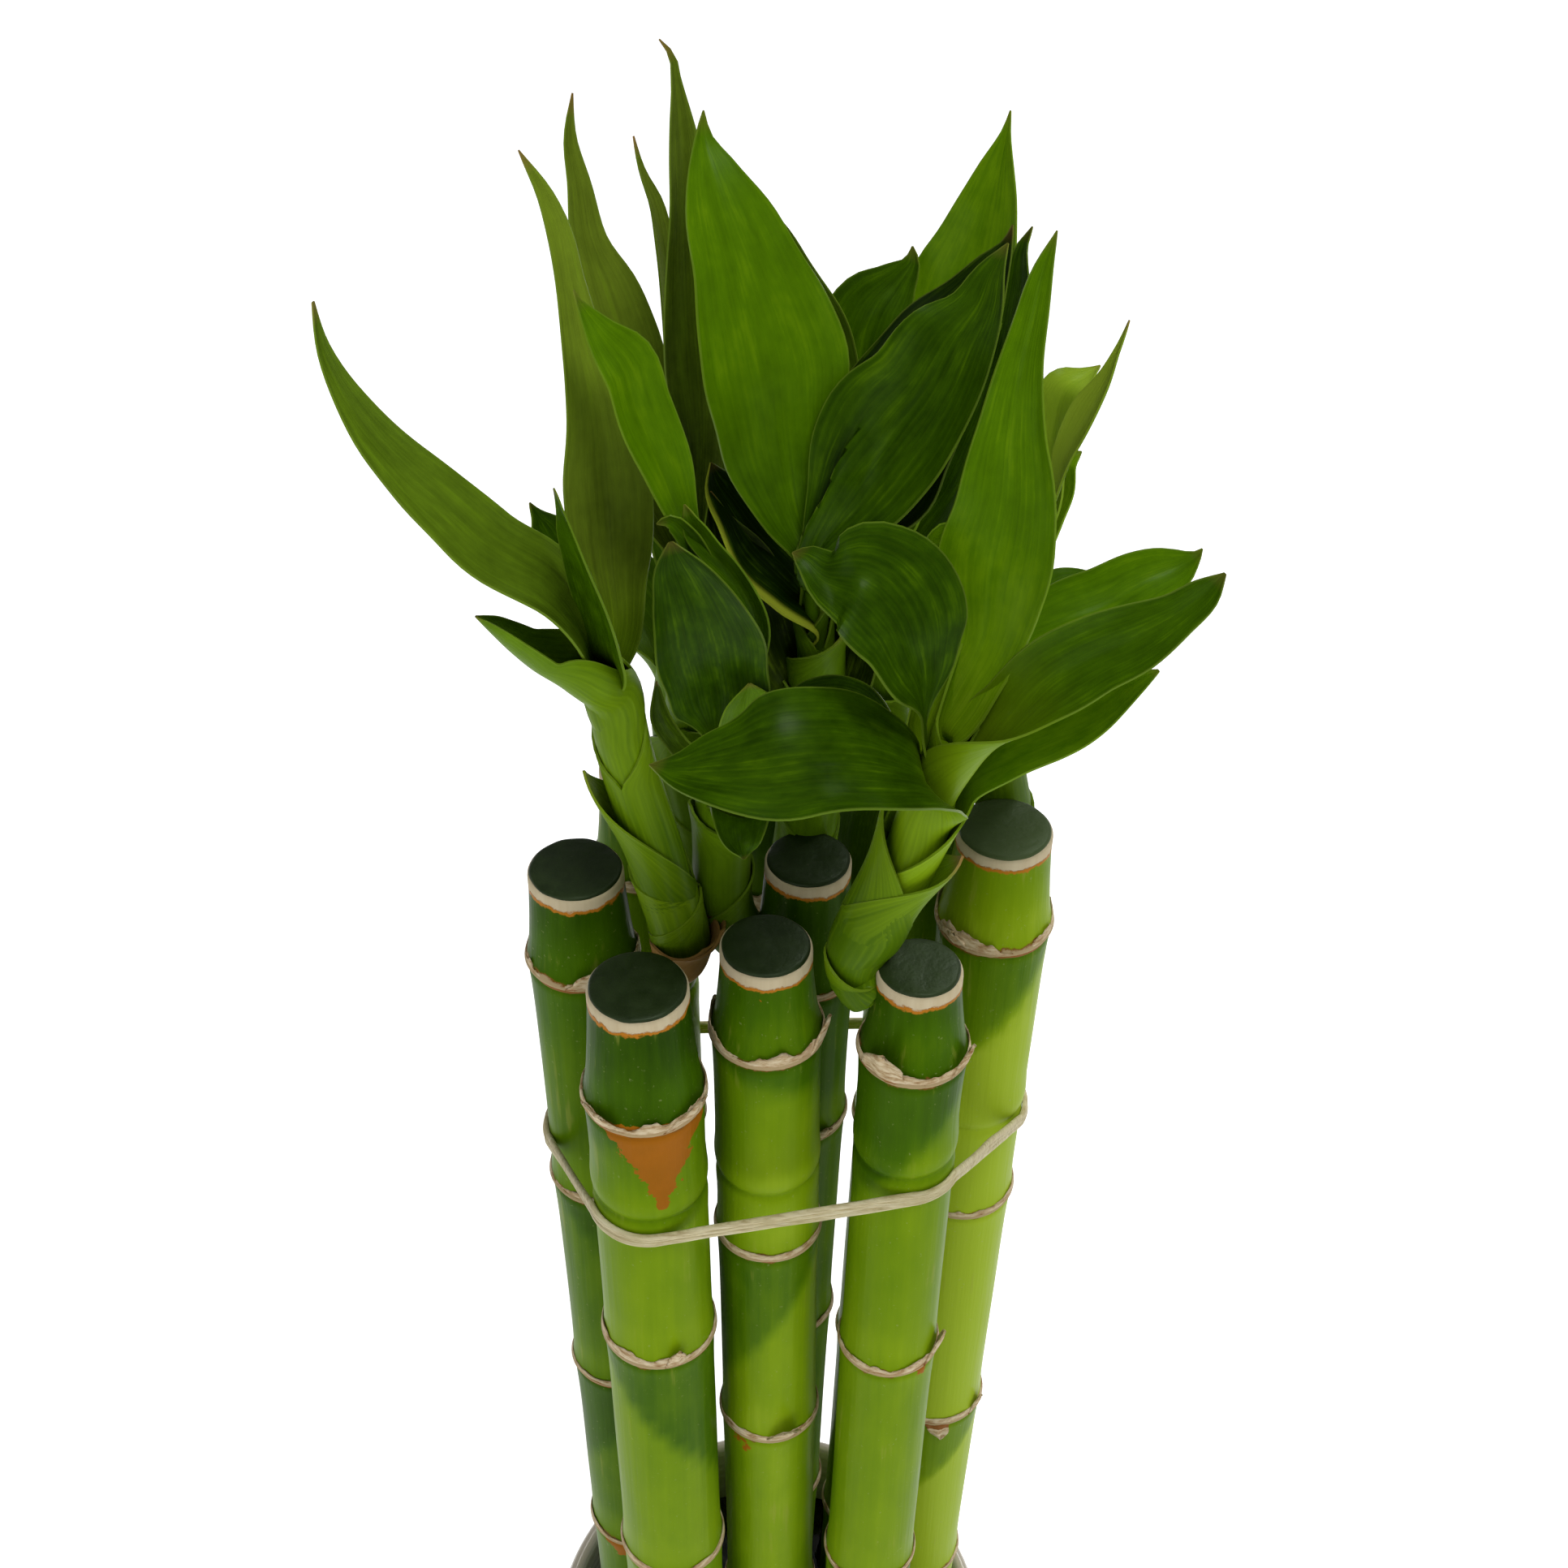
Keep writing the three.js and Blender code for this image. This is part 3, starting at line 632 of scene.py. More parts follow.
def scaled_oval(tree, sides, size):
    """An oval outline of a given width and height, to sweep along a curve."""
    oval = add(tree, "GeometryNodeCurvePrimitiveCircle", {"Resolution": sides, "Radius": 0.5})
    shaped = add(tree, "GeometryNodeTransform", {"Geometry": oval.outputs[0], "Scale": size})
    return shaped.outputs[0]


def seeded_noise(tree, seed, output, **values):
    """Noise over the places of a mesh or curve, with a seed of its own."""
    place = add(tree, "GeometryNodeInputPosition").outputs[0]
    inputs = {"Vector": place, "W": seed, **values}
    return add(tree, "ShaderNodeTexNoise", inputs, noise_dimensions="4D").outputs[output]


def read_layer(tree, label):
    return add(tree, "GeometryNodeInputNamedAttribute", {"Name": label}, data_type="FLOAT").outputs[0]


def husk_tree():
    """A torn ring round each point; the point holds the cane's radius and how torn the ring is."""
    tree, given = new_tree("husks", {
        "Wall": "Float", "Height": "Float", "Tear": "Float", "Sag": "Float", "Sides": "Int",
        "Seed": "Int", "Finish": "Material",
    })
    ring = add(tree, "GeometryNodeCurvePrimitiveCircle", {"Resolution": given["Sides"], "Radius": 1.0})
    section = scaled_oval(tree, 12, vector(tree, given["Wall"], given["Height"], 1.0))
    band = add(tree, "GeometryNodeCurveToMesh", {"Curve": ring.outputs[0], "Profile Curve": section})
    girth = read_layer(tree, "girth")
    inputs = {
        "Points": given["Geometry"], "Instance": band.outputs[0], "Scale": vector(tree, girth, girth, 1.0),
    }
    rings = add(tree, "GeometryNodeInstanceOnPoints", inputs)
    real = add(tree, "GeometryNodeRealizeInstances", {0: rings.outputs[0]})
    torn = seeded_noise(tree, given["Seed"], 0, Scale=210.0, Detail=3.0, Roughness=0.6)
    wavy = seeded_noise(tree, given["Seed"], 0, Scale=110.0, Detail=1.0)
    facing = add(tree, "ShaderNodeSeparateXYZ", {0: add(tree, "GeometryNodeInputNormal").outputs[0]})
    upper = calc(tree, "MAXIMUM", facing.outputs["Z"], 0.0)
    lift = times(tree, span(tree, torn, 0.38, 0.68, -0.35, 1.0), upper)
    lift = times(tree, lift, times(tree, given["Tear"], read_layer(tree, "rag")))
    sag = times(tree, swing(tree, wavy, -1.0, 1.0), given["Sag"])
    rise = vector(tree, z=plus(tree, lift, sag))
    moved = add(tree, "GeometryNodeSetPosition", {"Geometry": real.outputs[0], "Offset": rise})
    close_tree(tree, moved.outputs[0], given["Finish"])
    return tree


def grown(piece, tree, **inputs):
    """Gives a piece the tree's result as its plain mesh."""
    modifier = piece.modifiers.new(tree.name, "NODES")
    modifier.node_group = tree
    sockets = {item.name: item.identifier for item in tree.interface.items_tree if item.in_out == "INPUT"}
    for label, value in inputs.items():
        modifier[sockets[label]] = value
    bpy.context.view_layer.update()
    graph = bpy.context.evaluated_depsgraph_get()
    mesh = bpy.data.meshes.new_from_object(piece.evaluated_get(graph), depsgraph=graph)
    mesh.shade_smooth()
    piece.modifiers.clear()
    piece.data = mesh


def thin_sheet(grid, outward, thickness):
    """Points and faces of a closed thin sheet on a grid; its upper side lies outward."""
    rows, columns = grid.shape[:2]
    rise = outward * np.reshape(thickness, (-1, 1, 1)) / 2
    points = np.concatenate([(grid + rise).reshape(-1, 3), (grid - rise).reshape(-1, 3)])
    faces = []
    under = rows * columns
    for row in range(rows - 1):
        for column in range(columns - 1):
            a = row * columns + column
            b, c, d = a + 1, a + columns + 1, a + columns
            faces.append((a, b, c, d))
            faces.append((a + under, d + under, c + under, b + under))
    spots = np.arange(under).reshape(rows, columns)
    border = [*spots[0], *spots[1:, -1], *spots[-1, -2::-1], *spots[-2:0:-1, 0]]
    for a, b in zip(border, border[1:] + border[:1]):
        faces.append((b, a, a + under, b + under))
    return points, faces


def grid_normals(grid):
    """Unit normals of a grid of points."""
    normals = np.cross(np.gradient(grid, axis=1), np.gradient(grid, axis=0))
    return normals / np.maximum(np.linalg.norm(normals, axis=2, keepdims=True), 1e-9)


def husk_flap(cane, root, compass, width, length, lean, way):
    """A torn tongue of husk on a cane: its grid of points."""
    grid = np.zeros((FLAP_POINTS, FLAP_POINTS, 3))
    girth = cane["body"] + FLAP_STAND
    for i, up in enumerate(np.linspace(0, 1, FLAP_POINTS)):
        height = root + way * length * up
        x, y = cane_centre(cane, height)
        for k, side in enumerate(np.linspace(-1, 1, FLAP_POINTS)):
            spread = side * (width / 2) * (1 - up ** 1.6) * (1 + 0.15 * math.sin(7 * up + 3 * side))
            angle = math.radians(compass) + (spread + 0.5 * up * width * 0.3) / girth
            radius = girth + lean * up + 0.18 * math.sin(5 * side + 4 * up)
            grid[i, k] = (x + radius * math.cos(angle), y + radius * math.sin(angle), height)
    return grid


def join_flaps(mesh, cane, rows):
    """A cane's flaps added to the mesh of its husks."""
    joined = bmesh.new()
    joined.from_mesh(mesh)
    joined.faces.ensure_lookup_table()
    dressed = joined.faces[0].material_index
    for row in rows:
        grid = husk_flap(cane, *row)
        points, faces = thin_sheet(grid, grid_normals(grid), np.full(len(grid), FLAP_THICK))
        corners = [joined.verts.new(point * MM) for point in points]
        for face in faces:
            side = joined.faces.new([corners[corner] for corner in face])
            side.smooth = True
            side.material_index = dressed
    bmesh.ops.recalc_face_normals(joined, faces=joined.faces)
    joined.to_mesh(mesh)
    joined.free()


def husk_rise(mesh, scars):
    """How far above its own scar each point of the husks lies."""
    places = np.empty(3 * len(mesh.vertices))
    mesh.vertices.foreach_get("co", places)
    above = places[2::3, None] / MM - np.array(scars)
    rise = above[np.arange(len(above)), np.abs(above).argmin(1)]
    rise[rise < HANGING] = 1.0
    return rise


husk = dry_husk()
husks = husk_tree()
for number, (name, cane) in enumerate(CANES.items()):
    spots = [(*cane_centre(cane, scar), scar + ABOVE_SCAR) for scar in cane["scars"]]
    rags = [1.0 + 0.5 * math.sin(2.7 * number + 1.9 * row) for row in range(len(spots))]
    # The tear is doubled at the topmost scar.
    rags[0] *= 2.0
    girths = np.full(len(spots), (cane["body"] + HUSK_STAND) * MM)
    piece = build_piece(name + "_husks", spots, [], husk, girth=girths, rag=rags)
    grown(
        piece, husks, Wall=HUSK_WALL, Height=HUSK_HEIGHT * MM, Tear=HUSK_TEAR * MM, Sag=HUSK_SAG * MM,
        Sides=HUSK_SIDES, Seed=11 + number, Finish=husk,
    )
    join_flaps(piece.data, cane, FLAPS[name])
    paint(piece.data, "rise", husk_rise(piece.data, cane["scars"]))
    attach(piece, "root")


# Shoots: each a slim living stem grown out of a cane's side and wrapped in the sheaths of its own
# leaves. A leaf starts as a sheath round the stem, opens to one side through a narrow neck, and
# spreads into a blade with parallel veins.
SHEET = 0.34
SHEATH_LENGTH = 15
SHEATH_ROWS = 14
SHEATH_STEP = 0.34
BLADE_ROWS = 46
LEAF_COLUMNS = 25
CREASED_COLUMNS = 61
SCALE_ROWS, SCALE_COLUMNS = 30, 33
STEM_POINTS = 160
STEM_SIDES = 24
CORE_RINGS = 30
# A crease that a blade is folded over at: shares of its length, and how far across it lies there.
CREASE = ((0.0, 0.30), (0.10, -0.30), (0.20, -0.58), (0.36, -0.36), (0.54, -0.48))
CREASE_RISE = 2.2
EDGE_RIPPLE = 0.045
MIDDLE_GROOVE = 0.22
TWIST_DEGREES = 5
# What a leaf can have of its own. Distances run from its joint, up its blade.
USUAL_LEAF = {
    "turn": 0,  # degrees that its face is turned about its length
    "trough": 0.3,  # how far its edges curl up
    "olive": 0.0,  # how dull its green is
    "fade": 1,  # the tone at its foot, as a share of its own
    "pale": 0.35,  # how bleached its sheath is
    "gold": 0,  # how yellow its edge is, on the side that the sign says
    "side": None,  # compass of the stem's side that it grows on
    "flare": 0,  # how far the mouth of its sheath stands off the stem
    "parting": -2,  # where its sheath starts to part
    "parted": 2.5,  # where its sheath has parted
    "open": None,  # where it lies open as a blade
    "crease": None,  # where its blade is folded over
}


def leaf(root, tone, blade, **own):
    """A leaf: where it leaves the stem, its tone, and places along its blade with the half-width there."""
    return {"root": root, "tone": tone, "blade": blade, **USUAL_LEAF, **own}


# A shoot's row: places along its stem, the radius of its sheaths near its foot and top, its girth at
# the very foot as a share of that, how young and bleached its sheaths are, its scales and its leaves.
# A scale is a bare sheath with no blade: its foot, mouth and tip along the stem, the compass of its
# tip, how far that stands off, and how dry it is.
# A leaf's tone is its own green with light and shade painted into it: leaves tucked behind others have
# darker tones, as painted shade, and the leaves at the back to the right lighter ones, as painted light.
SHOOTS = {
    "shoot_1": {
        "stem": [(-23, -2, 262), (-15, -3, 270), (-16.2, -4, 288), (-19.8, -5, 306), (-22.6, -6, 322)],
        "radii": (4.3, 3.1), "foot": 0.6, "young": 1.0,
        "scales": [
            (13, 15, 21, -50, 1.6, 2), (11, 13, 24, -15, 3.0, 2), (12, 21, 27, 10, 0.0, 0),
            (12, 26, 32, 160, 0.0, 0), (20, 28, 51, 185, 1.4, 0.2), (27, 50, 63, 75, 0.0, 0),
        ],
        "leaves": [
            leaf((-22, -6, 321), 0.62, [
                (-27.5, -9.5, 324.5, 6.0), (-31, -10.5, 328, 5.8), (-33.5, -11.5, 331.5, 4.6),
                (-35.5, -12, 334.5, 2.6), (-37, -12, 336.5, 0.2),
            ], trough=0.62, olive=0.1, side=200, parting=1, parted=11, open=15, flare=0.5),
            leaf((-22, -6, 323), 0.56, [
                (-24, -7.5, 328, 3.6), (-28.5, -9.5, 339.5, 4.7), (-35, -11, 345.5, 4.9),
                (-39.5, -12, 351.5, 4.5), (-43.5, -13, 357, 3.9), (-47.5, -14, 364, 2.8),
                (-50.5, -14.5, 373.5, 1.1), (-50.5, -15, 379, 0.2),
            ], turn=-40, trough=0.25, olive=0.3, fade=0.65),
            leaf((-21, -7, 324), 0.45, [
                (-21.3, -9, 328, 3.4), (-22.2, -10, 334.5, 4.2), (-23.6, -11, 342, 4.1),
                (-25.2, -12, 348.5, 2.6), (-26, -12, 351.5, 1.1), (-26.8, -12, 354.5, 0.1),
            ], turn=180, trough=0.2),
            leaf((-22, -4, 325), 0.3, [
                (-24.5, -2, 326.5, 1.8), (-28, 0.5, 336, 3.2), (-30, 1.5, 340, 2.8), (-31, 2, 342, 0.9),
                (-31.5, 2, 343.5, 0.1),
            ]),
            leaf((-20.6, -4, 322), 0.62, [
                (-21.4, -2.5, 326.5, 3.0), (-22, 2, 334.5, 4.9), (-22.5, 5, 344.5, 5.9),
                (-23.5, 8.5, 354, 4.3), (-25, 10.5, 360, 3.0), (-26.5, 13, 367.5, 1.9),
                (-27.5, 14.5, 372.5, 1.6), (-29, 15.5, 377, 1.1), (-32, 17, 382, 0.1),
            ], turn=-10, olive=0.65, fade=0.5),
        ],
    },
    "shoot_2": {
        "stem": [(17, -16, 277), (10.0, -15, 282), (12.3, -15, 291), (16.9, -14, 303), (19.6, -13, 320)],
        "radii": (4.8, 3.8), "foot": 0.75, "young": 1.0,
        "scales": [(4, 10, 16, 150, 0.4, 0), (7, 17.5, 31, -8, 1.2, 1.0), (11, 18, 35.5, 182, 0.6, 0)],
        "leaves": [
            leaf((20, -11, 318), 0.72, [
                (19.2, -11.5, 319, 4.0), (21.4, -10.5, 325, 4.6), (24.3, -9, 331.5, 5.2),
                (25, -7, 340.5, 7.5), (26, -5, 348.5, 6.7), (26, -2, 356.5, 4.5), (26.5, 0.5, 364, 2.9),
                (27.5, 3, 369, 2.1), (28.5, 5.5, 373.5, 1.3), (30, 8, 377.5, 0.1),
            ], turn=5, fade=1.4),
            leaf((20, -9, 314), 0.7, [
                (27.5, -5, 328, 3.7), (35.5, -3, 331.5, 5.0), (39, -2, 332.5, 4.9), (44.5, 0, 335, 3.9),
                (49, 1.5, 336.5, 2.2), (50.5, 2, 337.5, 0.7), (51, 2, 338.5, 0.1),
            ], turn=30, trough=0.25),
            leaf((19, -14, 311), 0.46, [
                (23.5, -16, 317.5, 6.6), (27.5, -15.8, 324.5, 6.0), (31.5, -15.3, 330.3, 5.5),
                (36, -15, 334, 5.0), (42, -14.5, 337.2, 4.2), (46, -13.5, 339.5, 3.0),
                (49.5, -12.5, 342.5, 1.8), (51, -12, 344.5, 0.2),
            ], turn=40, side=-30, parting=1, parted=16, open=28, pale=1.0),
            leaf((20, -11, 305), 0.85, [
                (23, -10, 311.5, 4.4), (27.5, -9.5, 315, 4.6), (33.5, -8, 317.5, 4.7),
                (39.5, -7, 320.5, 3.6), (44, -6, 324, 1.8), (46.5, -5, 325, 0.2),
            ], turn=15, trough=0.2, side=40, parting=-7.5, parted=6, open=12, pale=0.8),
            leaf((20, -15, 308), 0.35, [
                (17.5, -18.5, 317, 5.6), (12, -22.5, 323.5, 8.1), (3, -26, 327, 8.9),
                (-3.5, -27, 326.5, 7.9), (-9, -26, 325, 5.3), (-13, -25, 324, 2.7), (-16, -24, 324, 0.1),
            ], turn=-18, trough=0.22, side=-125, parting=-3, parted=6, open=12, pale=0.7),
            leaf((18, -15, 315), 0.3, [
                (16.5, -16.5, 328, 1.8), (16, -16.5, 331.5, 4.9), (15, -16.5, 335, 7.2),
                (13, -15.5, 340, 8.8), (8.5, -14, 344, 7.4), (4, -12.5, 344, 3.4), (2, -11, 345, 1.8),
                (0.5, -10, 345, 0.1),
            ], turn=-25, side=-150, parting=0, parted=3, open=8),
            leaf((19, -11, 312), 0.2, [
                (12.5, -6, 313.5, 2.8), (8.5, -2, 316.5, 3.6), (3.5, 0.5, 314.5, 4.1), (0, 1.5, 313, 2.4),
                (-2, 2, 313, 0.2),
            ]),
            leaf((21, -9, 322), 0.85, [
                (21.5, -4, 339.5, 1.6), (19, -3.5, 342.5, 2.7), (16, -3, 341.5, 0.1),
            ]),
        ],
    },
    "shoot_3": {
        "stem": [(1, 3, 264), (-6.6, 2.5, 272), (-8.4, 1, 290), (-7.5, 0, 306), (-7, 0, 316)],
        "radii": (4.4, 3.2), "foot": 0.9, "young": 0.2,
        "scales": [(6, 16, 24, 40, 0.3, 0), (18, 30, 38, 200, 0.3, 0), (30, 42, 52, 60, 0.3, 0)],
        "leaves": [
            leaf((-6, -2, 308), 0.27, [
                (-8.6, -3.5, 313.5, 2.6), (-8.3, -4.5, 318, 6.0), (-9, -5.5, 324.5, 7.0),
                (-10.2, -6.5, 331.5, 6.7), (-12, -6.5, 337.5, 4.9), (-13.3, -6.5, 341, 3.0),
                (-14, -6, 343.5, 0.3),
            ], turn=-111),
            leaf((-7, -1, 308), 0.55, [
                (-4.5, -3, 333, 1.8), (-7.5, -3, 338.5, 1.9), (-9.5, -3, 341, 2.0), (-11, -2.5, 343, 1.9),
                (-12.5, -2.5, 346.5, 0.1),
            ], turn=-105, trough=0.5),
            leaf((-7, -1, 310), 0.5, [
                (-8.5, -2, 333, 2.3), (-11, -2.5, 339.5, 1.9), (-12.5, -3, 343, 1.5),
                (-14.2, -3, 344.6, 1.1), (-15.8, -3, 344, 0.1),
            ], turn=-95, trough=0.4),
            leaf((-6, 0, 310), 0.74, [
                (-12.5, -0.5, 341.5, 2.2), (-15, 0, 350, 3.9), (-18, 1, 357.5, 4.6),
                (-19.5, 2, 362.5, 4.4), (-22, 2.5, 366, 2.6), (-23.5, 3.5, 368, 1.4),
                (-24.5, 4, 369.5, 0.5), (-25, 4, 371, 0.1),
            ], turn=-30, trough=0.25, fade=0.65),
            leaf((-8, 0, 302), 0.3, [
                (-14, -2, 310, 1.8), (-16, -3, 315, 1.5), (-16.4, -3, 320.3, 0.1),
            ], turn=-100, trough=0.5, olive=0.2),
            leaf((-6, -2, 306), 0.62, [
                (-4.5, -6.5, 314, 3.6), (-4.8, -7, 319, 4.2), (-4.6, -7, 321.5, 3.0),
                (-4.5, -7, 323.3, 0.2),
            ], turn=180, trough=0.35, olive=0.1),
            leaf((-6, 0, 294), 0.42, [
                (-5.5, -4, 298.5, 4.8), (-5.4, -7.5, 300.5, 4.2), (-5.3, -10, 299.5, 2.8),
                (-5, -11, 297.5, 0.2),
            ], trough=0.4),
        ],
    },
    "shoot_4": {
        "stem": [(0, 18, 262), (2, 13, 272), (4, 13, 294), (4, 12, 312), (3, 10, 328)],
        "radii": (4.6, 3.4), "foot": 0.9, "young": 0.2,
        "scales": [
            (6, 20, 28, 120, 0.3, 0), (20, 34, 42, -60, 0.3, 0), (32, 44, 52, 160, 0.4, 0.2),
            (40, 52, 60, -30, 0.3, 0.2),
        ],
        "leaves": [
            leaf((3, 9, 318), 0.72, [
                (2.5, 9.5, 332, 2.2), (1, 10, 336.5, 4.2), (-1, 11.5, 345.5, 7.8), (-2.5, 13.5, 356, 9.6),
                (-6, 18, 367, 7.4), (-10, 24, 377, 3.2), (-11, 26.5, 380, 1.1), (-11, 28, 382.5, 0.1),
            ], turn=-15, trough=0.22, fade=0.6),
            leaf((4, 12, 320), 0.35, [
                (1, 25, 353.5, 6.4), (-3, 28.5, 360.5, 5.6), (-5, 31, 364.5, 4.5), (-6.5, 33, 367.5, 2.7),
                (-7.5, 34.5, 370, 0.2),
            ], turn=-10, olive=0.2),
            leaf((4, 8, 320), 0.34, [
                (3.5, 7, 333.5, 2.2), (8, 7, 342, 7.2), (12.5, 8.5, 349.5, 9.3), (16.5, 10, 355, 8.5),
                (20, 13, 361, 6.5), (22.5, 16, 363.5, 4.2), (24, 19, 366.5, 2.3), (26, 22, 369, 0.1),
            ], turn=15, trough=0.28, crease=CREASE),
            leaf((4, 12, 320), 0.0, [
                (6, 13, 333, 3.8), (11, 14.5, 339.5, 8.9), (14, 16, 346, 9.8), (18.5, 19, 354.5, 8.3),
                (22.5, 22, 360.5, 5.4), (25, 25, 364.5, 2.7), (26.5, 27, 366.5, 0.9),
                (27, 28, 368.5, 0.1),
            ], turn=15, trough=0.28),
            leaf((4, 12, 312), 0.0, [
                (5, 12.5, 319, 4.0), (0, 13.2, 325.5, 7.0), (-4.8, 14.3, 330.4, 6.8),
                (-7.5, 15, 335, 4.6), (-9.5, 15.5, 338.5, 2.6), (-10, 16, 341, 0.1),
            ], turn=-20, gold=-0.9),
            leaf((4.5, 12.5, 300), 0.02, [
                (7.5, 12.5, 306, 4.2), (9.2, 13, 312, 5.2), (10.2, 14, 319, 5.4), (10.8, 15, 326, 3.8),
                (11, 16, 332, 0.1),
            ], turn=15, olive=0.5),
            leaf((4, 12, 302), 0.02, [
                (0, 10.5, 308, 4.6), (-3.5, 10.5, 315, 6.8), (-6, 11.5, 322, 7.0), (-8, 12.5, 329, 5.4),
                (-9.5, 13.5, 334, 2.4), (-10, 14, 338, 0.1),
            ], turn=-40, olive=0.6),
            leaf((4, 14, 318), 0.45, [
                (0, 22.5, 325, 5.3), (-3, 31, 330, 5.7), (-5, 39, 333.5, 3.4), (-6, 44, 334.5, 1.4),
                (-6, 47, 335, 0.1),
            ], olive=0.1),
        ],
    },
    "shoot_5": {
        "stem": [(20, 29, 262), (16, 33, 272), (14.5, 31, 294), (14, 28, 312), (13, 27, 322)],
        "radii": (4.4, 3.2), "foot": 0.9, "young": 0.3,
        "scales": [(5, 18, 26, 60, 0.3, 0), (18, 30, 38, 240, 1.6, 0), (30, 42, 50, 20, 0.3, 0.2)],
        "leaves": [
            leaf((14, 29, 314), 0.84, [
                (17.5, 33, 336, 4.6), (20.5, 36.5, 346.5, 7.0), (23, 40, 354, 7.6),
                (24.5, 42, 358.5, 6.6), (25.5, 44, 363, 4.8), (26.5, 47, 367, 2.8), (27.5, 50, 371, 0.7),
                (28, 52, 373, 0.1),
            ], trough=0.25),
            leaf((13, 27, 314), 0.42, [
                (8.5, 31, 338, 4.0), (9, 32.5, 344.5, 6.0), (9.5, 34, 349.5, 6.5), (11, 35.5, 353, 5.6),
                (13.5, 37.5, 355.5, 3.3), (15.5, 39, 358, 1.1), (15.5, 40, 359.5, 0.1),
            ]),
            leaf((14, 27, 314), 0.3, [
                (23, 29, 330, 3.0), (27.5, 30, 342, 4.2), (29, 31.5, 351, 3.8), (29.4, 33.5, 357.5, 2.5),
                (29.5, 35.5, 362, 1.1), (30.5, 37, 364, 0.1),
            ]),
            leaf((14, 29, 310), 0.5, [
                (16, 40, 321, 7.5), (18, 50, 328, 8.1), (20, 59.5, 330.5, 4.8), (21.5, 65, 330, 1.9),
                (22, 68, 329, 0.1),
            ]),
            # This hanging leaf, at the darkest tone, fills the gap between the canes behind as a dark sheet
            # of painted shade.
            leaf((15, 32, 278), 0.0, [
                (12.5, 28.5, 278, 3.6), (11, 27, 272, 4.4), (10.2, 26, 264, 4.4), (10, 25.5, 257, 2.8),
                (10, 25.5, 251, 0.1),
            ], turn=180, trough=0.2, olive=0.4),
            leaf((16, 29, 304), 0.42, [
                (23, 36, 311.5, 6.6), (29, 42, 315, 7.1), (34.5, 47.5, 314, 4.2),
                (37.5, 50.5, 311.5, 1.7), (39, 52, 309, 0.1),
            ], olive=0.1),
        ],
    },
    "shoot_6": {
        "stem": [(32, 13, 262), (33.5, 20, 272), (30.5, 21, 290), (28.5, 21.5, 308), (28, 22, 322)],
        "radii": (4.2, 3.0), "foot": 0.9, "young": 0.6,
        "scales": [(5, 18, 26, 90, 0.3, 0), (18, 30, 38, -60, 0.3, 0), (30, 42, 50, 120, 0.3, 0.2)],
        "leaves": [
            leaf((29, 22, 314), 1.25, [
                (35, 24, 332, 2.6), (34.5, 26, 340, 3.4), (36, 28, 346, 3.3), (38.5, 30, 346.5, 1.6),
                (40.5, 32, 347, 0.1),
            ], olive=0.1),
            leaf((29, 21, 314), 1.35, [
                (34.5, 18.5, 335.5, 1.8), (35.5, 18, 342, 2.6), (37.5, 18, 347.5, 2.9),
                (39.5, 18.5, 352.5, 1.7), (40.5, 19, 356.5, 0.7), (41.5, 20, 360, 0.1),
            ], turn=20, trough=0.35, olive=0.6),
            leaf((29, 21, 310), 1.05, [
                (35, 23, 329.5, 2.4), (36, 24, 333, 2.4), (36.5, 25, 336.5, 1.8), (38.5, 26, 337.5, 0.1),
            ], turn=20),
            leaf((31, 22, 302), 0.48, [
                (37, 27, 308, 6.2), (42, 31, 310, 6.6), (46, 34.5, 308.5, 3.9), (48, 36, 306, 1.5),
                (49, 37, 303, 0.1),
            ]),
        ],
    },
    "shoot_7": {
        "stem": [(-19, 22, 262), (-13, 19, 272), (-15, 20, 297), (-13, 20, 312), (-11, 20, 324)],
        "radii": (4.4, 3.2), "foot": 0.9, "young": 0.3,
        "scales": [(5, 18, 26, 100, 0.3, 0), (18, 30, 38, -80, 0.3, 0), (30, 42, 50, 160, 0.3, 0.2)],
        "leaves": [
            leaf((-12, 21, 316), 0.5, [
                (-21, 27.5, 336, 4.4), (-22.5, 31.5, 348.5, 5.9), (-24.5, 33.5, 355.5, 4.8),
                (-26.5, 35.5, 361.5, 2.9), (-27.5, 38, 368, 1.8), (-28.5, 40, 373.5, 0.9),
                (-28, 42, 378.5, 0.1),
            ], olive=0.75, fade=0.3),
            leaf((-12, 22, 316), 0.42, [
                (-15, 30.5, 343, 3.5), (-16, 34, 354, 2.8), (-17, 36.5, 361, 2.2),
                (-18, 38.5, 365.5, 1.6), (-19.5, 40, 369, 0.8), (-20.5, 42, 373, 0.1),
            ], turn=40, olive=0.85, fade=0.5),
            leaf((-11, 19, 316), 0.4, [
                (-11.5, 24, 339.5, 3.6), (-12, 26.5, 351.5, 5.0), (-12.5, 28, 358.5, 4.4),
                (-13, 29.5, 368, 3.0), (-13.5, 31, 374.5, 2.4), (-14, 32, 379.5, 1.6),
                (-14.5, 33, 384, 0.7), (-15, 33.5, 387, 0.4), (-16.5, 34, 388.7, 0.1),
            ], olive=0.6, fade=0.35),
            leaf((-14, 18, 296), 0.35, [
                (-14.5, 13.5, 302.5, 3.0), (-15, 11, 308, 3.2), (-16, 10, 313, 2.0), (-17, 10, 317, 0.1),
            ], trough=0.5, olive=0.2),
            leaf((-12, 23, 310), 0.5, [
                (-12, 34, 322, 7.5), (-12, 44, 330, 8.1), (-13, 53.5, 333.5, 4.8),
                (-13.5, 59, 333.5, 1.9), (-14, 62, 332, 0.1),
            ]),
            leaf((-13, 22, 300), 0.44, [
                (-21, 29.5, 307.5, 6.6), (-28, 36, 311, 7.1), (-34.5, 42.5, 310.5, 4.2),
                (-38, 46, 308.5, 1.7), (-40, 48, 306, 0.1),
            ], olive=0.1),
        ],
    },
}
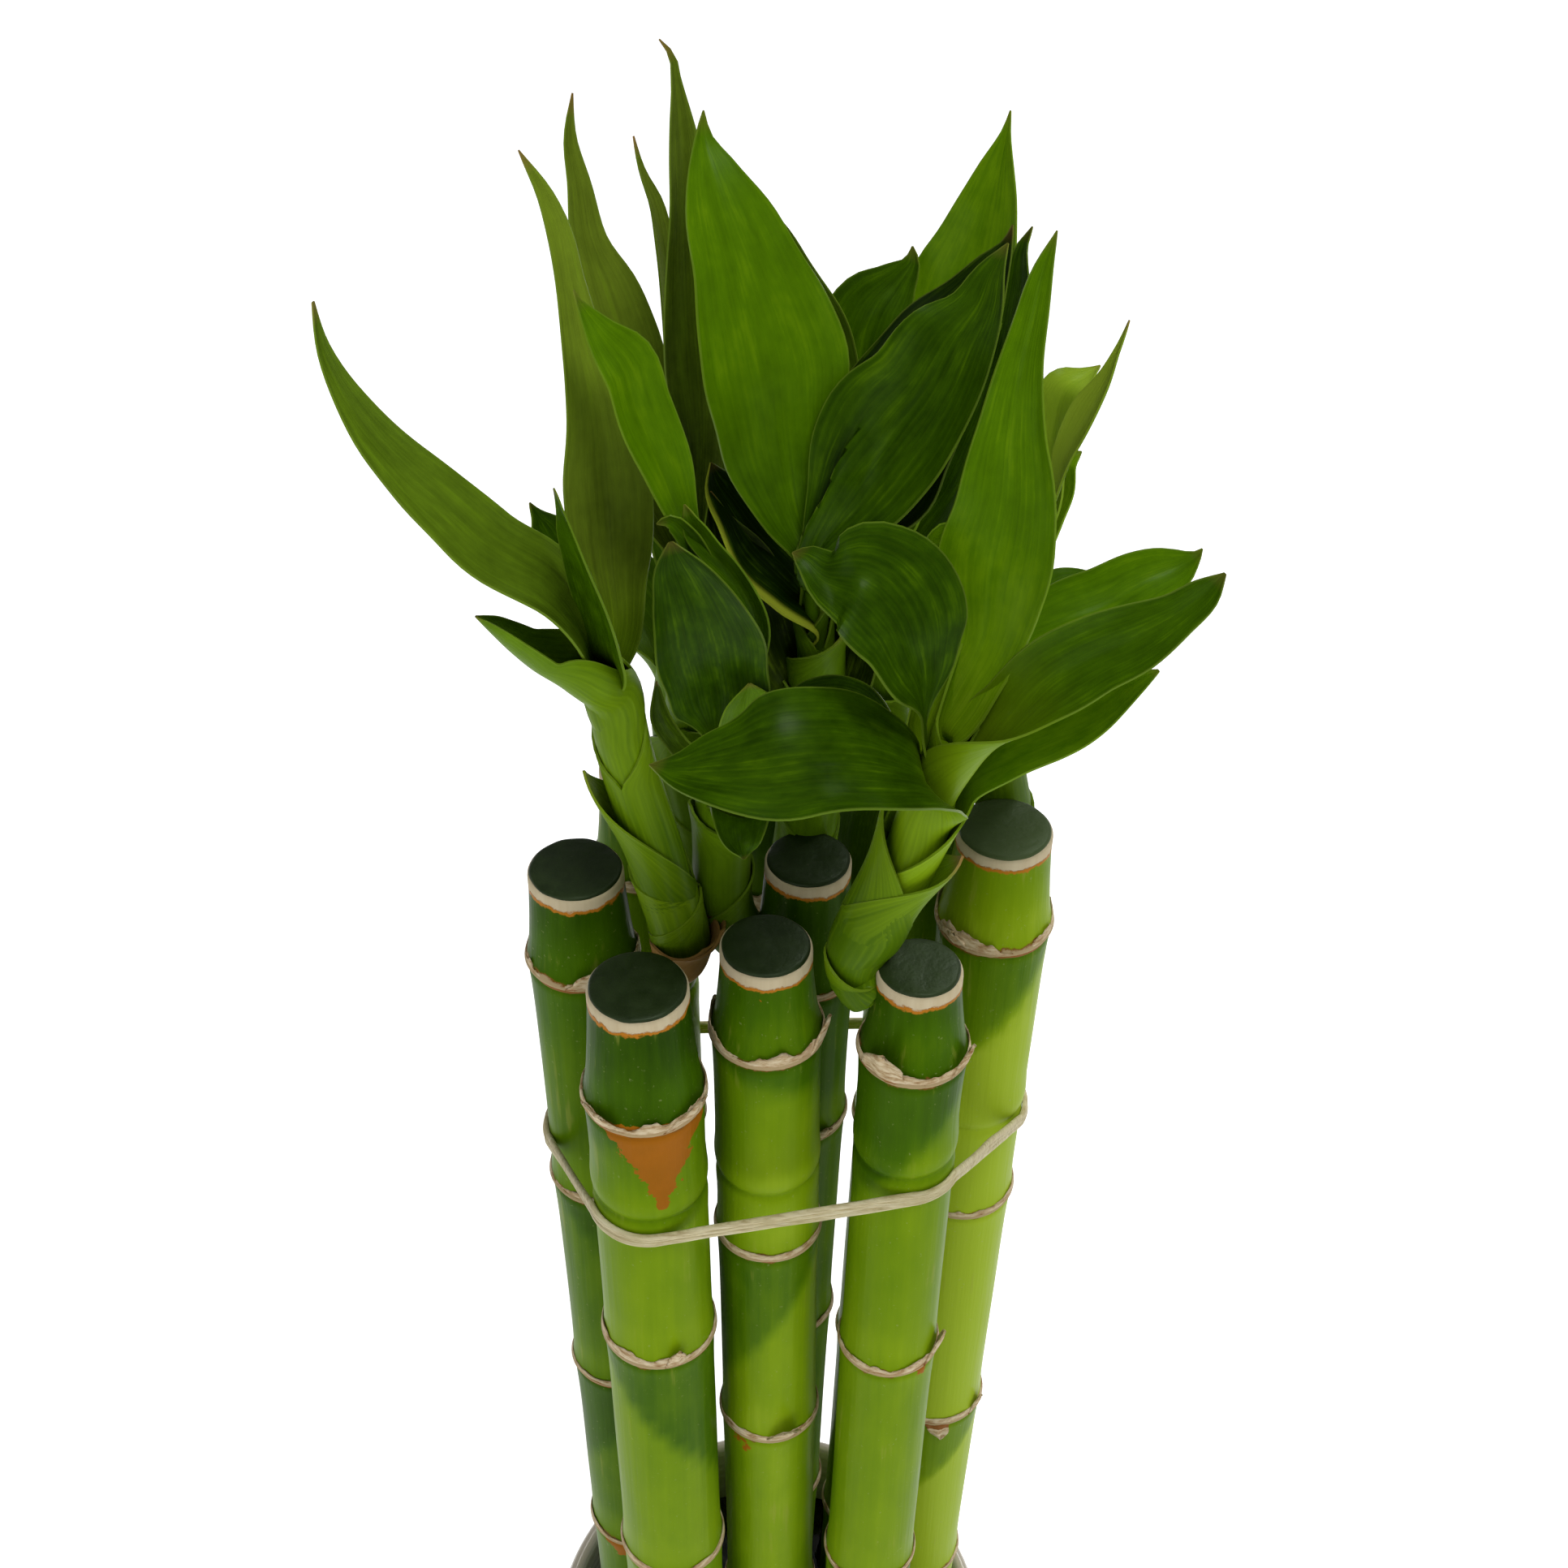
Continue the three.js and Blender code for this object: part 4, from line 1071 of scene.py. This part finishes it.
LEAF_GREENS = [
    (0.0, (0.005, 0.016, 0.0002)), (0.2, (0.019, 0.053, 0.0002)), (0.4, (0.045, 0.112, 0.0003)),
    (0.6, (0.080, 0.185, 0.0005)), (0.8, (0.150, 0.290, 0.002)), (1.0, (0.270, 0.410, 0.020)),
]
OLIVE_DARK, OLIVE_LIGHT = (0.020, 0.034, 0.001), (0.340, 0.455, 0.036)
BACK_DARK, BACK_LIGHT = (0.034, 0.080, 0.0008), (0.165, 0.310, 0.005)
SHEATH_DARK, SHEATH_LIGHT = (0.056, 0.122, 0.0005), (0.250, 0.400, 0.006)
PALE_STREAK = (0.13, 0.24, 0.002)
VEIN = (0.16, 0.28, 0.004)
LEAF_EDGE = (0.20, 0.29, 0.03)
GOLD_EDGE = (0.36, 0.42, 0.03)
DRY_TIP = (0.31, 0.17, 0.050)
# What the bare stem inside the sheaths has painted on it.
CORE_VALUES = {
    "across": 0.5, "along": 0, "margin": 5, "tone": 0.5, "olive": 0, "sheath": 1, "dry": 0, "under": 0,
    "gold": 0, "pale": 0.4,
}


def through(marks, knots, where):
    """A smooth curve through knots that lie at marks, read at other marks."""
    marks, knots = np.array(marks, float), np.array(knots, float)
    slopes = np.gradient(knots, marks, axis=0)
    cell = np.clip(np.searchsorted(marks, where, side="right") - 1, 0, len(marks) - 2)
    gap = (marks[cell + 1] - marks[cell])[:, None]
    t = (where - marks[cell])[:, None] / gap
    start = (2 * t ** 3 - 3 * t ** 2 + 1) * knots[cell] + (t ** 3 - 2 * t ** 2 + t) * gap * slopes[cell]
    end = (3 * t ** 2 - 2 * t ** 3) * knots[cell + 1] + (t ** 3 - t ** 2) * gap * slopes[cell + 1]
    return start + end


def unit(vectors):
    return vectors / np.maximum(np.linalg.norm(vectors, axis=-1, keepdims=True), 1e-9)


def square_to(way, lean):
    """The direction nearest to a lean that is square to a way."""
    return unit(lean - way * (lean @ way))


def compass_way(degrees):
    """A level direction: 0 is +X and 90 is +Y."""
    return np.array([math.cos(math.radians(degrees)), math.sin(math.radians(degrees)), 0.0])


def eased(value, start, end):
    """0 before the start and 1 past the end, with a soft step between them."""
    share = np.clip((value - start) / (end - start), 0, 1)
    return share * share * (3 - 2 * share)


def run_of(line):
    """Distances along a line of points."""
    return np.concatenate([[0], np.cumsum(np.linalg.norm(np.diff(line, axis=0), axis=1))])


def smooth_line(knots, count):
    """A number of even points on a smooth line through knots."""
    knots = np.array(knots, float)
    marks = run_of(knots)
    return through(marks, knots, np.linspace(0, marks[-1], count))


def read_line(line, run, distance):
    return np.stack([np.interp(distance, run, line[:, axis]) for axis in range(3)], -1)


def sheet_on(centres, faces, half, bend, across, lift=0.0):
    """A strip along its centre line: each row is an arc of a given bend that curls to its face."""
    along = unit(np.gradient(centres, axis=0))
    side = unit(np.cross(along, faces))
    face = np.cross(side, along)
    reach = half[:, None] * across[None, :]
    curl = np.maximum(bend[:, None], 1e-4)
    sideways = np.sin(curl * reach) / curl
    up = (1 - np.cos(curl * reach)) / curl + lift
    return centres[:, None, :] + side[:, None, :] * sideways[..., None] + face[:, None, :] * up[..., None]


def painted_on(half, across, along, **constants):
    """Values painted on a sheet: place across and along it, distance from its edge, and constants."""
    count = len(along) * len(across)
    values = {
        "across": np.tile(across, len(along)),
        "along": np.repeat(along, len(across)),
        "margin": (half[:, None] * (1 - np.abs(across)[None, :])).ravel(),
    }
    for label, value in constants.items():
        values[label] = np.repeat(value, len(across)) if np.ndim(value) else np.full(count, float(value))
    return values


def leaf_line(leaf, line, run, radius):
    """Knots of a leaf's line, the way that it runs, its blade's face and the side of its stem."""
    spots = np.array(leaf["blade"], float)[:, :3]
    root = np.array(leaf["root"], float)
    joint = np.clip(run[np.linalg.norm(line - root, axis=1).argmin()], 8, run[-1] - 0.3)
    sheath = min(SHEATH_LENGTH, joint - 5)
    chord = unit(spots[-1] - root)
    up = square_to(chord, np.array([0, 0, 1.0]))
    angle = math.radians(leaf["turn"])
    face = up * math.cos(angle) + np.cross(chord, up) * math.sin(angle)
    lean = chord - 0.5 * face if leaf["side"] is None else compass_way(leaf["side"])
    stem_way = unit(read_line(line, run, joint) - read_line(line, run, joint - 2))
    outward = square_to(stem_way, lean)
    keel = [read_line(line, run, joint - back) + outward * radius for back in (sheath, sheath / 2, 0)]
    return np.vstack([keel, spots]), chord, face, outward


def blade_halves(leaf, marks, rows, radius, seed):
    """Half-width of a blade at each row, from its neck to its tip, with a slightly wavy edge."""
    widths = np.array(leaf["blade"], float)[:, 3]
    neck = max(0.85 * radius, widths[0] * 0.9)
    half = through(marks, np.append(neck, widths)[:, None], np.maximum(rows, 0))[:, 0]
    wavy = np.sin(rows / 2.9 + 2 * seed) + 0.6 * np.sin(rows / 1.6 + seed)
    return np.maximum(half * (1 + 0.018 * wavy * eased(rows, 0, 8)), 0.08)


def blade_lift(rows, half, across, opened, seed):
    """How far a blade stands off its plain curve: up in ripples at its edges, down along its middle."""
    along, opened = rows[:, None], opened[:, None]
    share = along / rows[-1]
    ripple = np.sin(along / 5.5 + 2.5 * across + seed) + 0.5 * np.sin(along / 2.6 - 4 * across + seed)
    edges = EDGE_RIPPLE * half[:, None] * opened * ripple * across ** 2
    reach = half[:, None] * across[None, :]
    return edges - MIDDLE_GROOVE * opened * (1 - 0.7 * share) * np.exp(-(reach / 0.7) ** 2)


def shade_crease(values, held, beyond, half):
    """A painted shadow on the side of a crease under its fold, and the pale edge line along it, painted on a
    creased blade.
    """
    shaded = held * eased(beyond, -0.45, -0.10) * (1 - eased(beyond, -0.02, 0.01))
    for label in ("tone", "sheath"):
        values[label] = values[label] * (1 - 0.9 * shaded.ravel())
    edge = np.abs(beyond - 0.02) * half[:, None] + 4 * (1 - held)
    values["margin"] = np.minimum(values["margin"], edge.ravel())


def leaf_values(leaf, rows, half, across, seed, folded):
    """Values painted on a leaf and its sheath; folded is how firmly and how far past its crease."""
    share = rows / rows[-1]
    fade = leaf["fade"] + (1 - leaf["fade"]) * eased(share, 0.05, 0.6)
    values = painted_on(
        half, across, share, tone=leaf["tone"] * fade, olive=leaf["olive"], pale=leaf["pale"], shift=seed,
        dry=eased(share, 0.955, 1.0) * min(1, 0.25 + 0.9 * leaf["olive"]),
        sheath=1 - eased(rows, 0, max(0.16 * rows[-1] + 6, leaf["open"] or 0)),
    )
    # A creased blade gets a painted shadow beside its crease.
    if folded:
        shade_crease(values, *folded, half)
    closed = 1 - eased(rows, leaf["parting"], leaf["parting"] + 1)
    values["margin"] = values["margin"] + np.repeat(4 * closed, len(across))
    values["gold"] = abs(leaf["gold"]) * eased(values["across"] * np.sign(leaf["gold"]), 0.66, 0.86)
    return values


def leaf_sheet(leaf, line, run, radius, seed):
    """A leaf with its sheath: its grid of points and painted values."""
    knots, chord, face, outward = leaf_line(leaf, line, run, radius)
    marks = run_of(knots) - run_of(knots)[2]
    sheath_rows = np.linspace(marks[0], 0, SHEATH_ROWS, endpoint=False)
    rows = np.concatenate([sheath_rows, np.linspace(0, marks[-1], BLADE_ROWS)])
    columns = CREASED_COLUMNS if leaf["crease"] else LEAF_COLUMNS
    across = np.sin(np.linspace(-1, 1, columns) * math.pi / 2 * 0.9) / math.sin(math.pi / 2 * 0.9)
    opened = eased(rows, leaf["parting"], leaf["open"] or 0.5 * marks[3] + 5)
    twist = np.radians(TWIST_DEGREES * np.sin(rows / 11 + seed) * opened)[:, None]
    facing = face * np.cos(twist) + np.cross(chord, face) * np.sin(twist)
    faces = unit((1 - opened[:, None]) * -outward + opened[:, None] * facing)
    blade_half = blade_halves(leaf, marks[2:], rows, radius, seed)
    parted = np.clip((rows - leaf["parting"]) / (leaf["parted"] - leaf["parting"]), 0, 1)
    girth = radius + leaf["flare"] * eased(rows, -9, 0)
    half = (1 - parted) * math.pi * girth + parted * blade_half
    bend = (1 - opened) / girth + opened * 2 * leaf["trough"] / np.maximum(blade_half, 0.8)
    lift = blade_lift(rows, half, across, opened, seed)
    folded = None
    if leaf["crease"]:
        share = rows / rows[-1]
        held = ((1 - eased(share, 0.42, 0.54)) * opened)[:, None]
        beyond = across[None, :] - np.interp(share, *np.array(leaf["crease"]).T)[:, None]
        lift = lift + CREASE_RISE * held * eased(beyond, -0.02, 0.02) * (1 - eased(beyond, 0.05, 0.7))
        folded = (held, beyond)
    grid = sheet_on(through(marks, knots, rows), faces, half, bend, across, lift)
    return grid, leaf_values(leaf, rows, half, across, seed, folded)


def slimmed(distance, foot):
    """How far a stem is drawn in where it grows out of its cane."""
    return foot + (1 - foot) * eased(distance, 6, 17)


def scale_sheet(scale, line, run, radius, slim, seed):
    """A bare sheath on a stem: it wraps the stem and ends in a point to one side."""
    foot, mouth, tip, compass, flare, dryness = scale
    rows = np.linspace(foot, tip, SCALE_ROWS)
    across = np.linspace(-1, 1, SCALE_COLUMNS)
    over = np.maximum(rows - run[-1], 0)[:, None]
    centres = read_line(line, run, np.minimum(rows, run[-1])) + unit(np.gradient(line, axis=0))[-1] * over
    way = unit(read_line(line, run, min(mouth, run[-1])) - read_line(line, run, foot))
    outward = square_to(way, compass_way(compass))
    girth = radius + 0.15 + (0.5 + flare) * eased(rows, mouth, tip) ** 2
    girth = girth * slimmed(rows, slim)
    parted = np.clip((rows - mouth) / (tip - mouth), 0, 1)
    half = math.pi * girth * (1 - parted) ** 1.1 + 0.06
    faces = np.tile(-outward, (len(rows), 1))
    grid = sheet_on(centres + outward * girth[:, None], faces, half, 1 / girth, across)
    dry = np.maximum(eased(rows, mouth + 0.75 * (tip - mouth), tip) * min(dryness, 1), dryness - 1)
    values = painted_on(
        half, across, (rows - foot) / 60, tone=0.5 + 0.12 * math.sin(seed), olive=0.05, shift=seed,
        sheath=1.0, dry=dry, gold=0, pale=0.04 + 0.52 * eased(rows, foot + 4, tip),
    )
    values["margin"] = values["margin"] + np.repeat(4.0 * (rows < mouth), len(across))
    return grid, values


def along_leaf(tree, wide, long):
    """Coordinates that follow a leaf, stretched across and along it, and its own for each leaf."""
    across = times(tree, painted(tree, "across"), wide)
    return vector(tree, across, times(tree, painted(tree, "along"), long), painted(tree, "shift"))


def blade_green(tree, tone, patches, streaks):
    """The green of a blade: duller where it is olive, streaked with pale, and lighter on its back."""
    colour = shades(tree, times(tree, tone, 0.8), LEAF_GREENS)
    colour = overlay(tree, painted(tree, "olive"), colour, overlay(tree, tone, OLIVE_DARK, OLIVE_LIGHT))
    pale = span(tree, times(tree, patches, streaks), 0.30, 0.48, 0.0, 0.32)
    colour = overlay(tree, pale, colour, PALE_STREAK)
    back = overlay(tree, tone, BACK_DARK, BACK_LIGHT)
    return overlay(tree, times(tree, painted(tree, "under"), 0.8), colour, back)


def sheath_green(tree, streaks):
    """The paler, finely ribbed green of a young sheath."""
    bleached = plus(tree, painted(tree, "pale"), swing(tree, streaks, -0.15, 0.15))
    ribs = calc(tree, "SINE", times(tree, painted(tree, "across"), 85.0))
    bleached = plus(tree, bleached, span(tree, ribs, -0.2, 1.0, -0.03, 0.06))
    return overlay(tree, bleached, SHEATH_DARK, SHEATH_LIGHT)


def living_leaf():
    finish, tree, shader = new_finish(
        "living_leaf", Specular_IOR_Level=0.05, Specular_Tint=(0.6, 1.0, 0.2, 1), Coat_Weight=0.05,
        Coat_Roughness=0.24,
    )
    streaks = mottle(tree, along_leaf(tree, 9.0, 1.6), 1.6, 4.0, 0.6)
    patches = mottle(tree, along_leaf(tree, 3.0, 7.0), 1.1, 3.0, 0.6)
    grain = mottle(tree, object_place(tree), 420.0, 4.0, 0.6)
    tone = plus(tree, painted(tree, "tone"), swing(tree, streaks, -0.06, 0.06))
    tone = plus(tree, tone, span(tree, patches, 0.35, 0.75, -0.08, 0.12))
    tone = plus(tree, tone, swing(tree, grain, -0.045, 0.045))
    colour = blade_green(tree, tone, patches, streaks)
    colour = overlay(tree, times(tree, painted(tree, "sheath"), 0.85), colour, sheath_green(tree, streaks))
    wave = plus(tree, times(tree, painted(tree, "across"), 52.0), times(tree, streaks, 6.0))
    veins = calc(tree, "SINE", wave)
    colour = overlay(tree, span(tree, veins, 0.2, 1.0, 0.0, 0.035), colour, VEIN)
    edge = plus(tree, painted(tree, "margin"), swing(tree, streaks, -0.06, 0.06))
    colour = overlay(tree, span(tree, edge, 0.20, 0.08, 0.0, 0.32), colour, LEAF_EDGE)
    colour = overlay(tree, painted(tree, "gold"), colour, GOLD_EDGE)
    colour = overlay(tree, painted(tree, "dry"), colour, DRY_TIP)
    height = plus(tree, times(tree, veins, 0.05), streaks)
    rough = plus(tree, swing(tree, patches, 0.30, 0.44), times(tree, painted(tree, "under"), 0.12))
    dress(tree, shader, colour, height, 0.00008, rough)
    return finish


class Heap:
    """Thin sheets and skins gathered into one mesh, with the values painted on their points."""

    def __init__(self):
        self.points, self.faces, self.values, self.count = [], [], {}, 0

    def join(self, points, faces, values):
        self.faces.extend(tuple(corner + self.count for corner in face) for face in faces)
        self.points.append(points)
        self.count += len(points)
        for label, numbers in values.items():
            self.values.setdefault(label, []).extend(numbers)

    def lay(self, grid, thickness, values):
        points, faces = thin_sheet(grid, grid_normals(grid), thickness)
        doubled = {label: [*numbers, *numbers] for label, numbers in values.items()}
        doubled["under"] = [0.0] * (len(points) // 2) + [1.0] * (len(points) // 2)
        self.join(points, faces, doubled)


def stem_core(line, run, low, high, slim):
    """The bare stem inside its sheaths, as points of rings and its two ends."""
    spots = np.linspace(3, run[-1] - 1, CORE_RINGS)
    core = read_line(line, run, spots)
    thin = np.linspace(low * 0.9, high * 0.25, CORE_RINGS) * slimmed(spots, slim)
    ways = unit(np.gradient(core, axis=0))
    side = unit(np.cross(ways, (0, 1, 0)))
    front = np.cross(side, ways)
    turns = np.arange(STEM_SIDES) * 2 * math.pi / STEM_SIDES
    rings = core[:, None, :] + side[:, None, :] * (thin[:, None] * np.cos(turns))[..., None]
    rings = rings + front[:, None, :] * (thin[:, None] * np.sin(turns))[..., None]
    return np.vstack([rings.reshape(-1, 3), core[:1], core[-1:]])


leaf_finish = living_leaf()
for number, (name, shoot) in enumerate(SHOOTS.items()):
    line = smooth_line(shoot["stem"], STEM_POINTS)
    run = run_of(line)
    low, high = shoot["radii"]
    heap = Heap()
    # The leaf that starts lowest has the outermost sheath.
    leaves = sorted(enumerate(shoot["leaves"]), key=lambda item: -item[1]["root"][2])
    for rank, (index, row) in enumerate(leaves):
        radius = max(high - SHEATH_STEP * (len(leaves) - 1 - rank), 0.9)
        grid, values = leaf_sheet(row, line, run, radius, 3.1 * number + index)
        heap.lay(grid, SHEET * (0.55 + 0.45 * np.sin(np.linspace(0.35, 1, len(grid)) * math.pi)), values)
    for step, row in enumerate(shoot["scales"]):
        radius = low + (high - low) * row[1] / run[-1]
        grid, values = scale_sheet(row, line, run, radius, shoot["foot"], 50 + 7 * number + step)
        heap.lay(grid, np.full(len(grid), SHEET), values)
    points = stem_core(line, run, low, high, shoot["foot"])
    plain = {**CORE_VALUES, "shift": 90 + number}
    plain = {label: [value] * len(points) for label, value in plain.items()}
    heap.join(points, skin_faces(CORE_RINGS, STEM_SIDES), plain)
    heap.values["sheath"] = shoot["young"] * np.array(heap.values["sheath"])
    piece = build_piece(name + "_leaves", np.vstack(heap.points), heap.faces, leaf_finish, 40, **heap.values)
    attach(piece, "root")
    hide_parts(name)


# Tie: one strip of raffia drawn round the bundle and knotted at the back. It is a split palm leaf,
# so it lies as a few stiff fibres side by side, straight from cane to cane.
FIBRES = 3
TIE_THICK = 0.9
TIE_SPREAD = 0.72
TIE_WANDER = 0.9
TIE_STAND = 0.12
BEND_STEP = 0.12
TIE_POINTS = 640
# The canes that the tie bears on, in order, and its height at each.
TIE_ROUTE = (
    ("cane_1", 243), ("cane_3", 247), ("cane_6", 228), ("cane_7", 221), ("cane_8", 222), ("cane_4", 232),
)
# How wide, deep and tall the knot is drawn, and where its end hangs: to the side and down.
KNOT_SIZE = (1.25, 0.12, 0.9)
KNOT_TAIL = ((4.3, -5.5), (5.2, -10), (4.9, -15.5))
KNOT_POINTS = 160
BACK_OF_BUNDLE = 25
RAFFIA_BROWNS = [
    (0.30, (0.42, 0.33, 0.15)), (0.5, (0.68, 0.60, 0.36)), (0.7, (0.80, 0.74, 0.52)),
]
RAFFIA_GREEN = (0.46, 0.40, 0.16)


def tie_line():
    """The tie's centre line: straight between the canes and bent round each."""
    circles = []
    for name, height in TIE_ROUTE:
        x, y = cane_centre(CANES[name], height)
        circles.append((x, y, height, CANES[name]["body"] + TIE_STAND + TIE_THICK / 2))
    ends = []
    for here, there in zip(circles, circles[1:] + circles[:1]):
        across, up = there[0] - here[0], there[1] - here[1]
        lean = math.asin((here[3] - there[3]) / math.hypot(across, up))
        ends.append(math.atan2(up, across) - math.pi / 2 + lean)
    points = []
    for number, (x, y, height, radius) in enumerate(circles):
        start = ends[number - 1]
        turn = (ends[number] - start) % (2 * math.pi)
        for share in np.linspace(0, 1, max(4, math.ceil(turn / BEND_STEP))):
            angle = start + turn * share
            points.append((x + radius * math.cos(angle), y + radius * math.sin(angle), height))
    return np.array(points)


def knot_line(place):
    """An overhand knot on the strand, as a curve of powers, with its two ends hanging."""
    t = np.linspace(-2.05, 2.05, 60)
    knot = np.stack([t ** 3 - 3 * t, t ** 5 - 10 * t, 4 * t ** 2 - t ** 4 - 2], -1) * KNOT_SIZE
    last = np.array([(side, knot[-1, 1], down) for side, down in KNOT_TAIL])
    first = last[::-1] * (-1, -1, 1) + (0, 0, 2)
    return smooth_line(np.vstack([first, knot, last]), KNOT_POINTS) + place


def raffia_tree():
    """Fibres side by side along a line."""
    tree, given = new_tree("raffia", {
        "Fibres": "Int", "Spread": "Float", "Thickness": "Float", "Wander": "Float", "Points": "Int",
        "Seed": "Int", "Finish": "Material",
    })
    route = add(tree, "GeometryNodeMeshToCurve", {0: given["Geometry"]})
    even = add(tree, "GeometryNodeResampleCurve", {"Curve": route.outputs[0], "Count": given["Points"]})
    inputs = {"Geometry": even.outputs[0], "Amount": given["Fibres"]}
    fibres = add(tree, "GeometryNodeDuplicateElements", inputs, domain="SPLINE")
    rank = fibres.outputs["Duplicate Index"]
    middle = calc(tree, "DIVIDE", calc(tree, "SUBTRACT", given["Fibres"], 1.0), 2.0)
    level = times(tree, calc(tree, "SUBTRACT", rank, middle), given["Spread"])
    depth = plus(tree, given["Seed"], times(tree, rank, 5.3))
    drift = seeded_noise(tree, depth, "Color", Scale=60.0, Detail=2.0)
    centred = add(tree, "ShaderNodeVectorMath", {0: drift, 1: (0.5, 0.5, 0.5)}, operation="SUBTRACT")
    inputs = {0: centred.outputs[0], "Scale": given["Wander"]}
    wander = add(tree, "ShaderNodeVectorMath", inputs, operation="SCALE")
    inputs = {0: wander.outputs[0], 1: vector(tree, z=level)}
    offset = add(tree, "ShaderNodeVectorMath", inputs, operation="ADD")
    inputs = {"Geometry": fibres.outputs[0], "Offset": offset.outputs[0]}
    moved = add(tree, "GeometryNodeSetPosition", inputs)
    section = scaled_oval(tree, 10, vector(tree, given["Thickness"], given["Thickness"], 1.0))
    inputs = {"Curve": moved.outputs[0], "Profile Curve": section, "Fill Caps": True}
    cord = add(tree, "GeometryNodeCurveToMesh", inputs)
    close_tree(tree, cord.outputs[0], given["Finish"])
    return tree


def dry_raffia():
    finish, tree, shader = new_finish("raffia", Roughness=0.62, Specular_IOR_Level=0.3)
    place = object_place(tree)
    fibre = mottle(tree, place, (260.0, 260.0, 3200.0), 4.0, 0.65)
    cloud = mottle(tree, place, 120.0, 2.0)
    colour = shades(tree, fibre, RAFFIA_BROWNS)
    colour = overlay(tree, span(tree, cloud, 0.5, 0.75, 0.0, 0.5), colour, RAFFIA_GREEN)
    dress(tree, shader, colour, fibre, 0.0004)
    return finish


route = tie_line()
steps = np.linalg.norm(np.roll(route, -1, axis=0) - route, axis=1)
# The knot sits in the middle of the longest straight run at the back.
behind = np.argmax(steps * (route[:, 1] > BACK_OF_BUNDLE))
knot = knot_line((route[behind] + route[behind + 1]) / 2)
loop_edges = [(spot, (spot + 1) % len(route)) for spot in range(len(route))]
knot_edges = [(len(route) + spot, len(route) + spot + 1) for spot in range(len(knot) - 1)]
tie_mesh = bpy.data.meshes.new("raffia_tie")
tie_mesh.from_pydata(np.vstack([route, knot]) * MM, loop_edges + knot_edges, [])
tie = place_mesh("raffia_tie", tie_mesh)
grown(
    tie, raffia_tree(), Fibres=FIBRES, Spread=TIE_SPREAD * MM, Thickness=TIE_THICK * MM,
    Wander=TIE_WANDER * MM, Points=TIE_POINTS, Seed=4, Finish=dry_raffia(),
)
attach(tie, "root")
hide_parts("tie")


# Studio: a white floor, soft white light from above, and the camera where the photo was taken,
# looking down at the bundle.
# The studio's sizes are in metres.
FLOOR_REACH = 6
FLOOR_LIGHT, FLOOR_DARK = (0.93, 0.93, 0.93), (0.90, 0.90, 0.90)
FLOOR_GLOW = 0.75
WORLD_GLOW = 0.22
CAMERA_PLACE = (0, -0.225, 0.490)
CAMERA_DOWN = math.radians(40)
CAMERA_ROLL = math.radians(1)
SENSOR = 36
FOCUS_PIXELS = 2713
PHOTO_PIXELS = 1932


def white_floor():
    finish, tree, shader = new_finish(
        "white_floor", Roughness=0.9, Specular_IOR_Level=0.1, Emission_Color=(1, 1, 1, 1),
        Emission_Strength=FLOOR_GLOW,
    )
    tint = overlay(tree, mottle(tree, object_place(tree), 6.0), FLOOR_DARK, FLOOR_LIGHT)
    tree.links.new(tint, shader.inputs["Base Color"])
    return finish


def soft_light(name, place, target, size, power):
    light = bpy.data.lights.new(name, "AREA")
    light.shape = "DISK"
    light.size = size
    light.energy = power
    lamp = bpy.data.objects.new(name, light)
    lamp.location = place
    lamp.rotation_mode = "QUATERNION"
    lamp.rotation_quaternion = (Vector(target) - Vector(place)).to_track_quat("-Z", "Y")
    bpy.context.scene.collection.objects.link(lamp)


floor_mesh = bpy.data.meshes.new("floor")
corners = [(x * FLOOR_REACH, y * FLOOR_REACH, 0) for x, y in ((-1, -1), (1, -1), (1, 1), (-1, 1))]
floor_mesh.from_pydata(corners, [], [(0, 1, 2, 3)])
floor_mesh.materials.append(white_floor())
floor = place_mesh("floor", floor_mesh)

world = bpy.data.worlds.new("studio")
world.use_nodes = True
world.node_tree.nodes["Background"].inputs["Color"].default_value = (1, 1, 1, 1)
world.node_tree.nodes["Background"].inputs["Strength"].default_value = WORLD_GLOW
bpy.context.scene.world = world
bpy.context.scene.view_settings.view_transform = "Standard"
soft_light("key", (0.30, -0.45, 1.45), (0, 0, 0.28), 0.40, 6)
soft_light("fill", (-0.5, -1.1, 0.9), (0, 0, 0.25), 0.8, 2.0)
soft_light("overhead", (0.45, 0.7, 1.2), (0, 0.1, 0.25), 0.6, 5)

camera_data = bpy.data.cameras.new("camera")
camera_data.sensor_width = SENSOR
camera_data.lens = SENSOR * FOCUS_PIXELS / PHOTO_PIXELS
camera_data.clip_start = 0.01
camera = bpy.data.objects.new("camera", camera_data)
ahead = Vector((0, math.cos(CAMERA_DOWN), -math.sin(CAMERA_DOWN)))
level = Vector((1, 0, 0))
above = Vector((0, math.sin(CAMERA_DOWN), math.cos(CAMERA_DOWN)))
right = math.cos(CAMERA_ROLL) * level + math.sin(CAMERA_ROLL) * above
upward = math.cos(CAMERA_ROLL) * above - math.sin(CAMERA_ROLL) * level
turn = Matrix((right, upward, -ahead)).transposed()
camera.matrix_world = Matrix.Translation(CAMERA_PLACE) @ turn.to_4x4()
bpy.context.scene.collection.objects.link(camera)
bpy.context.scene.camera = camera
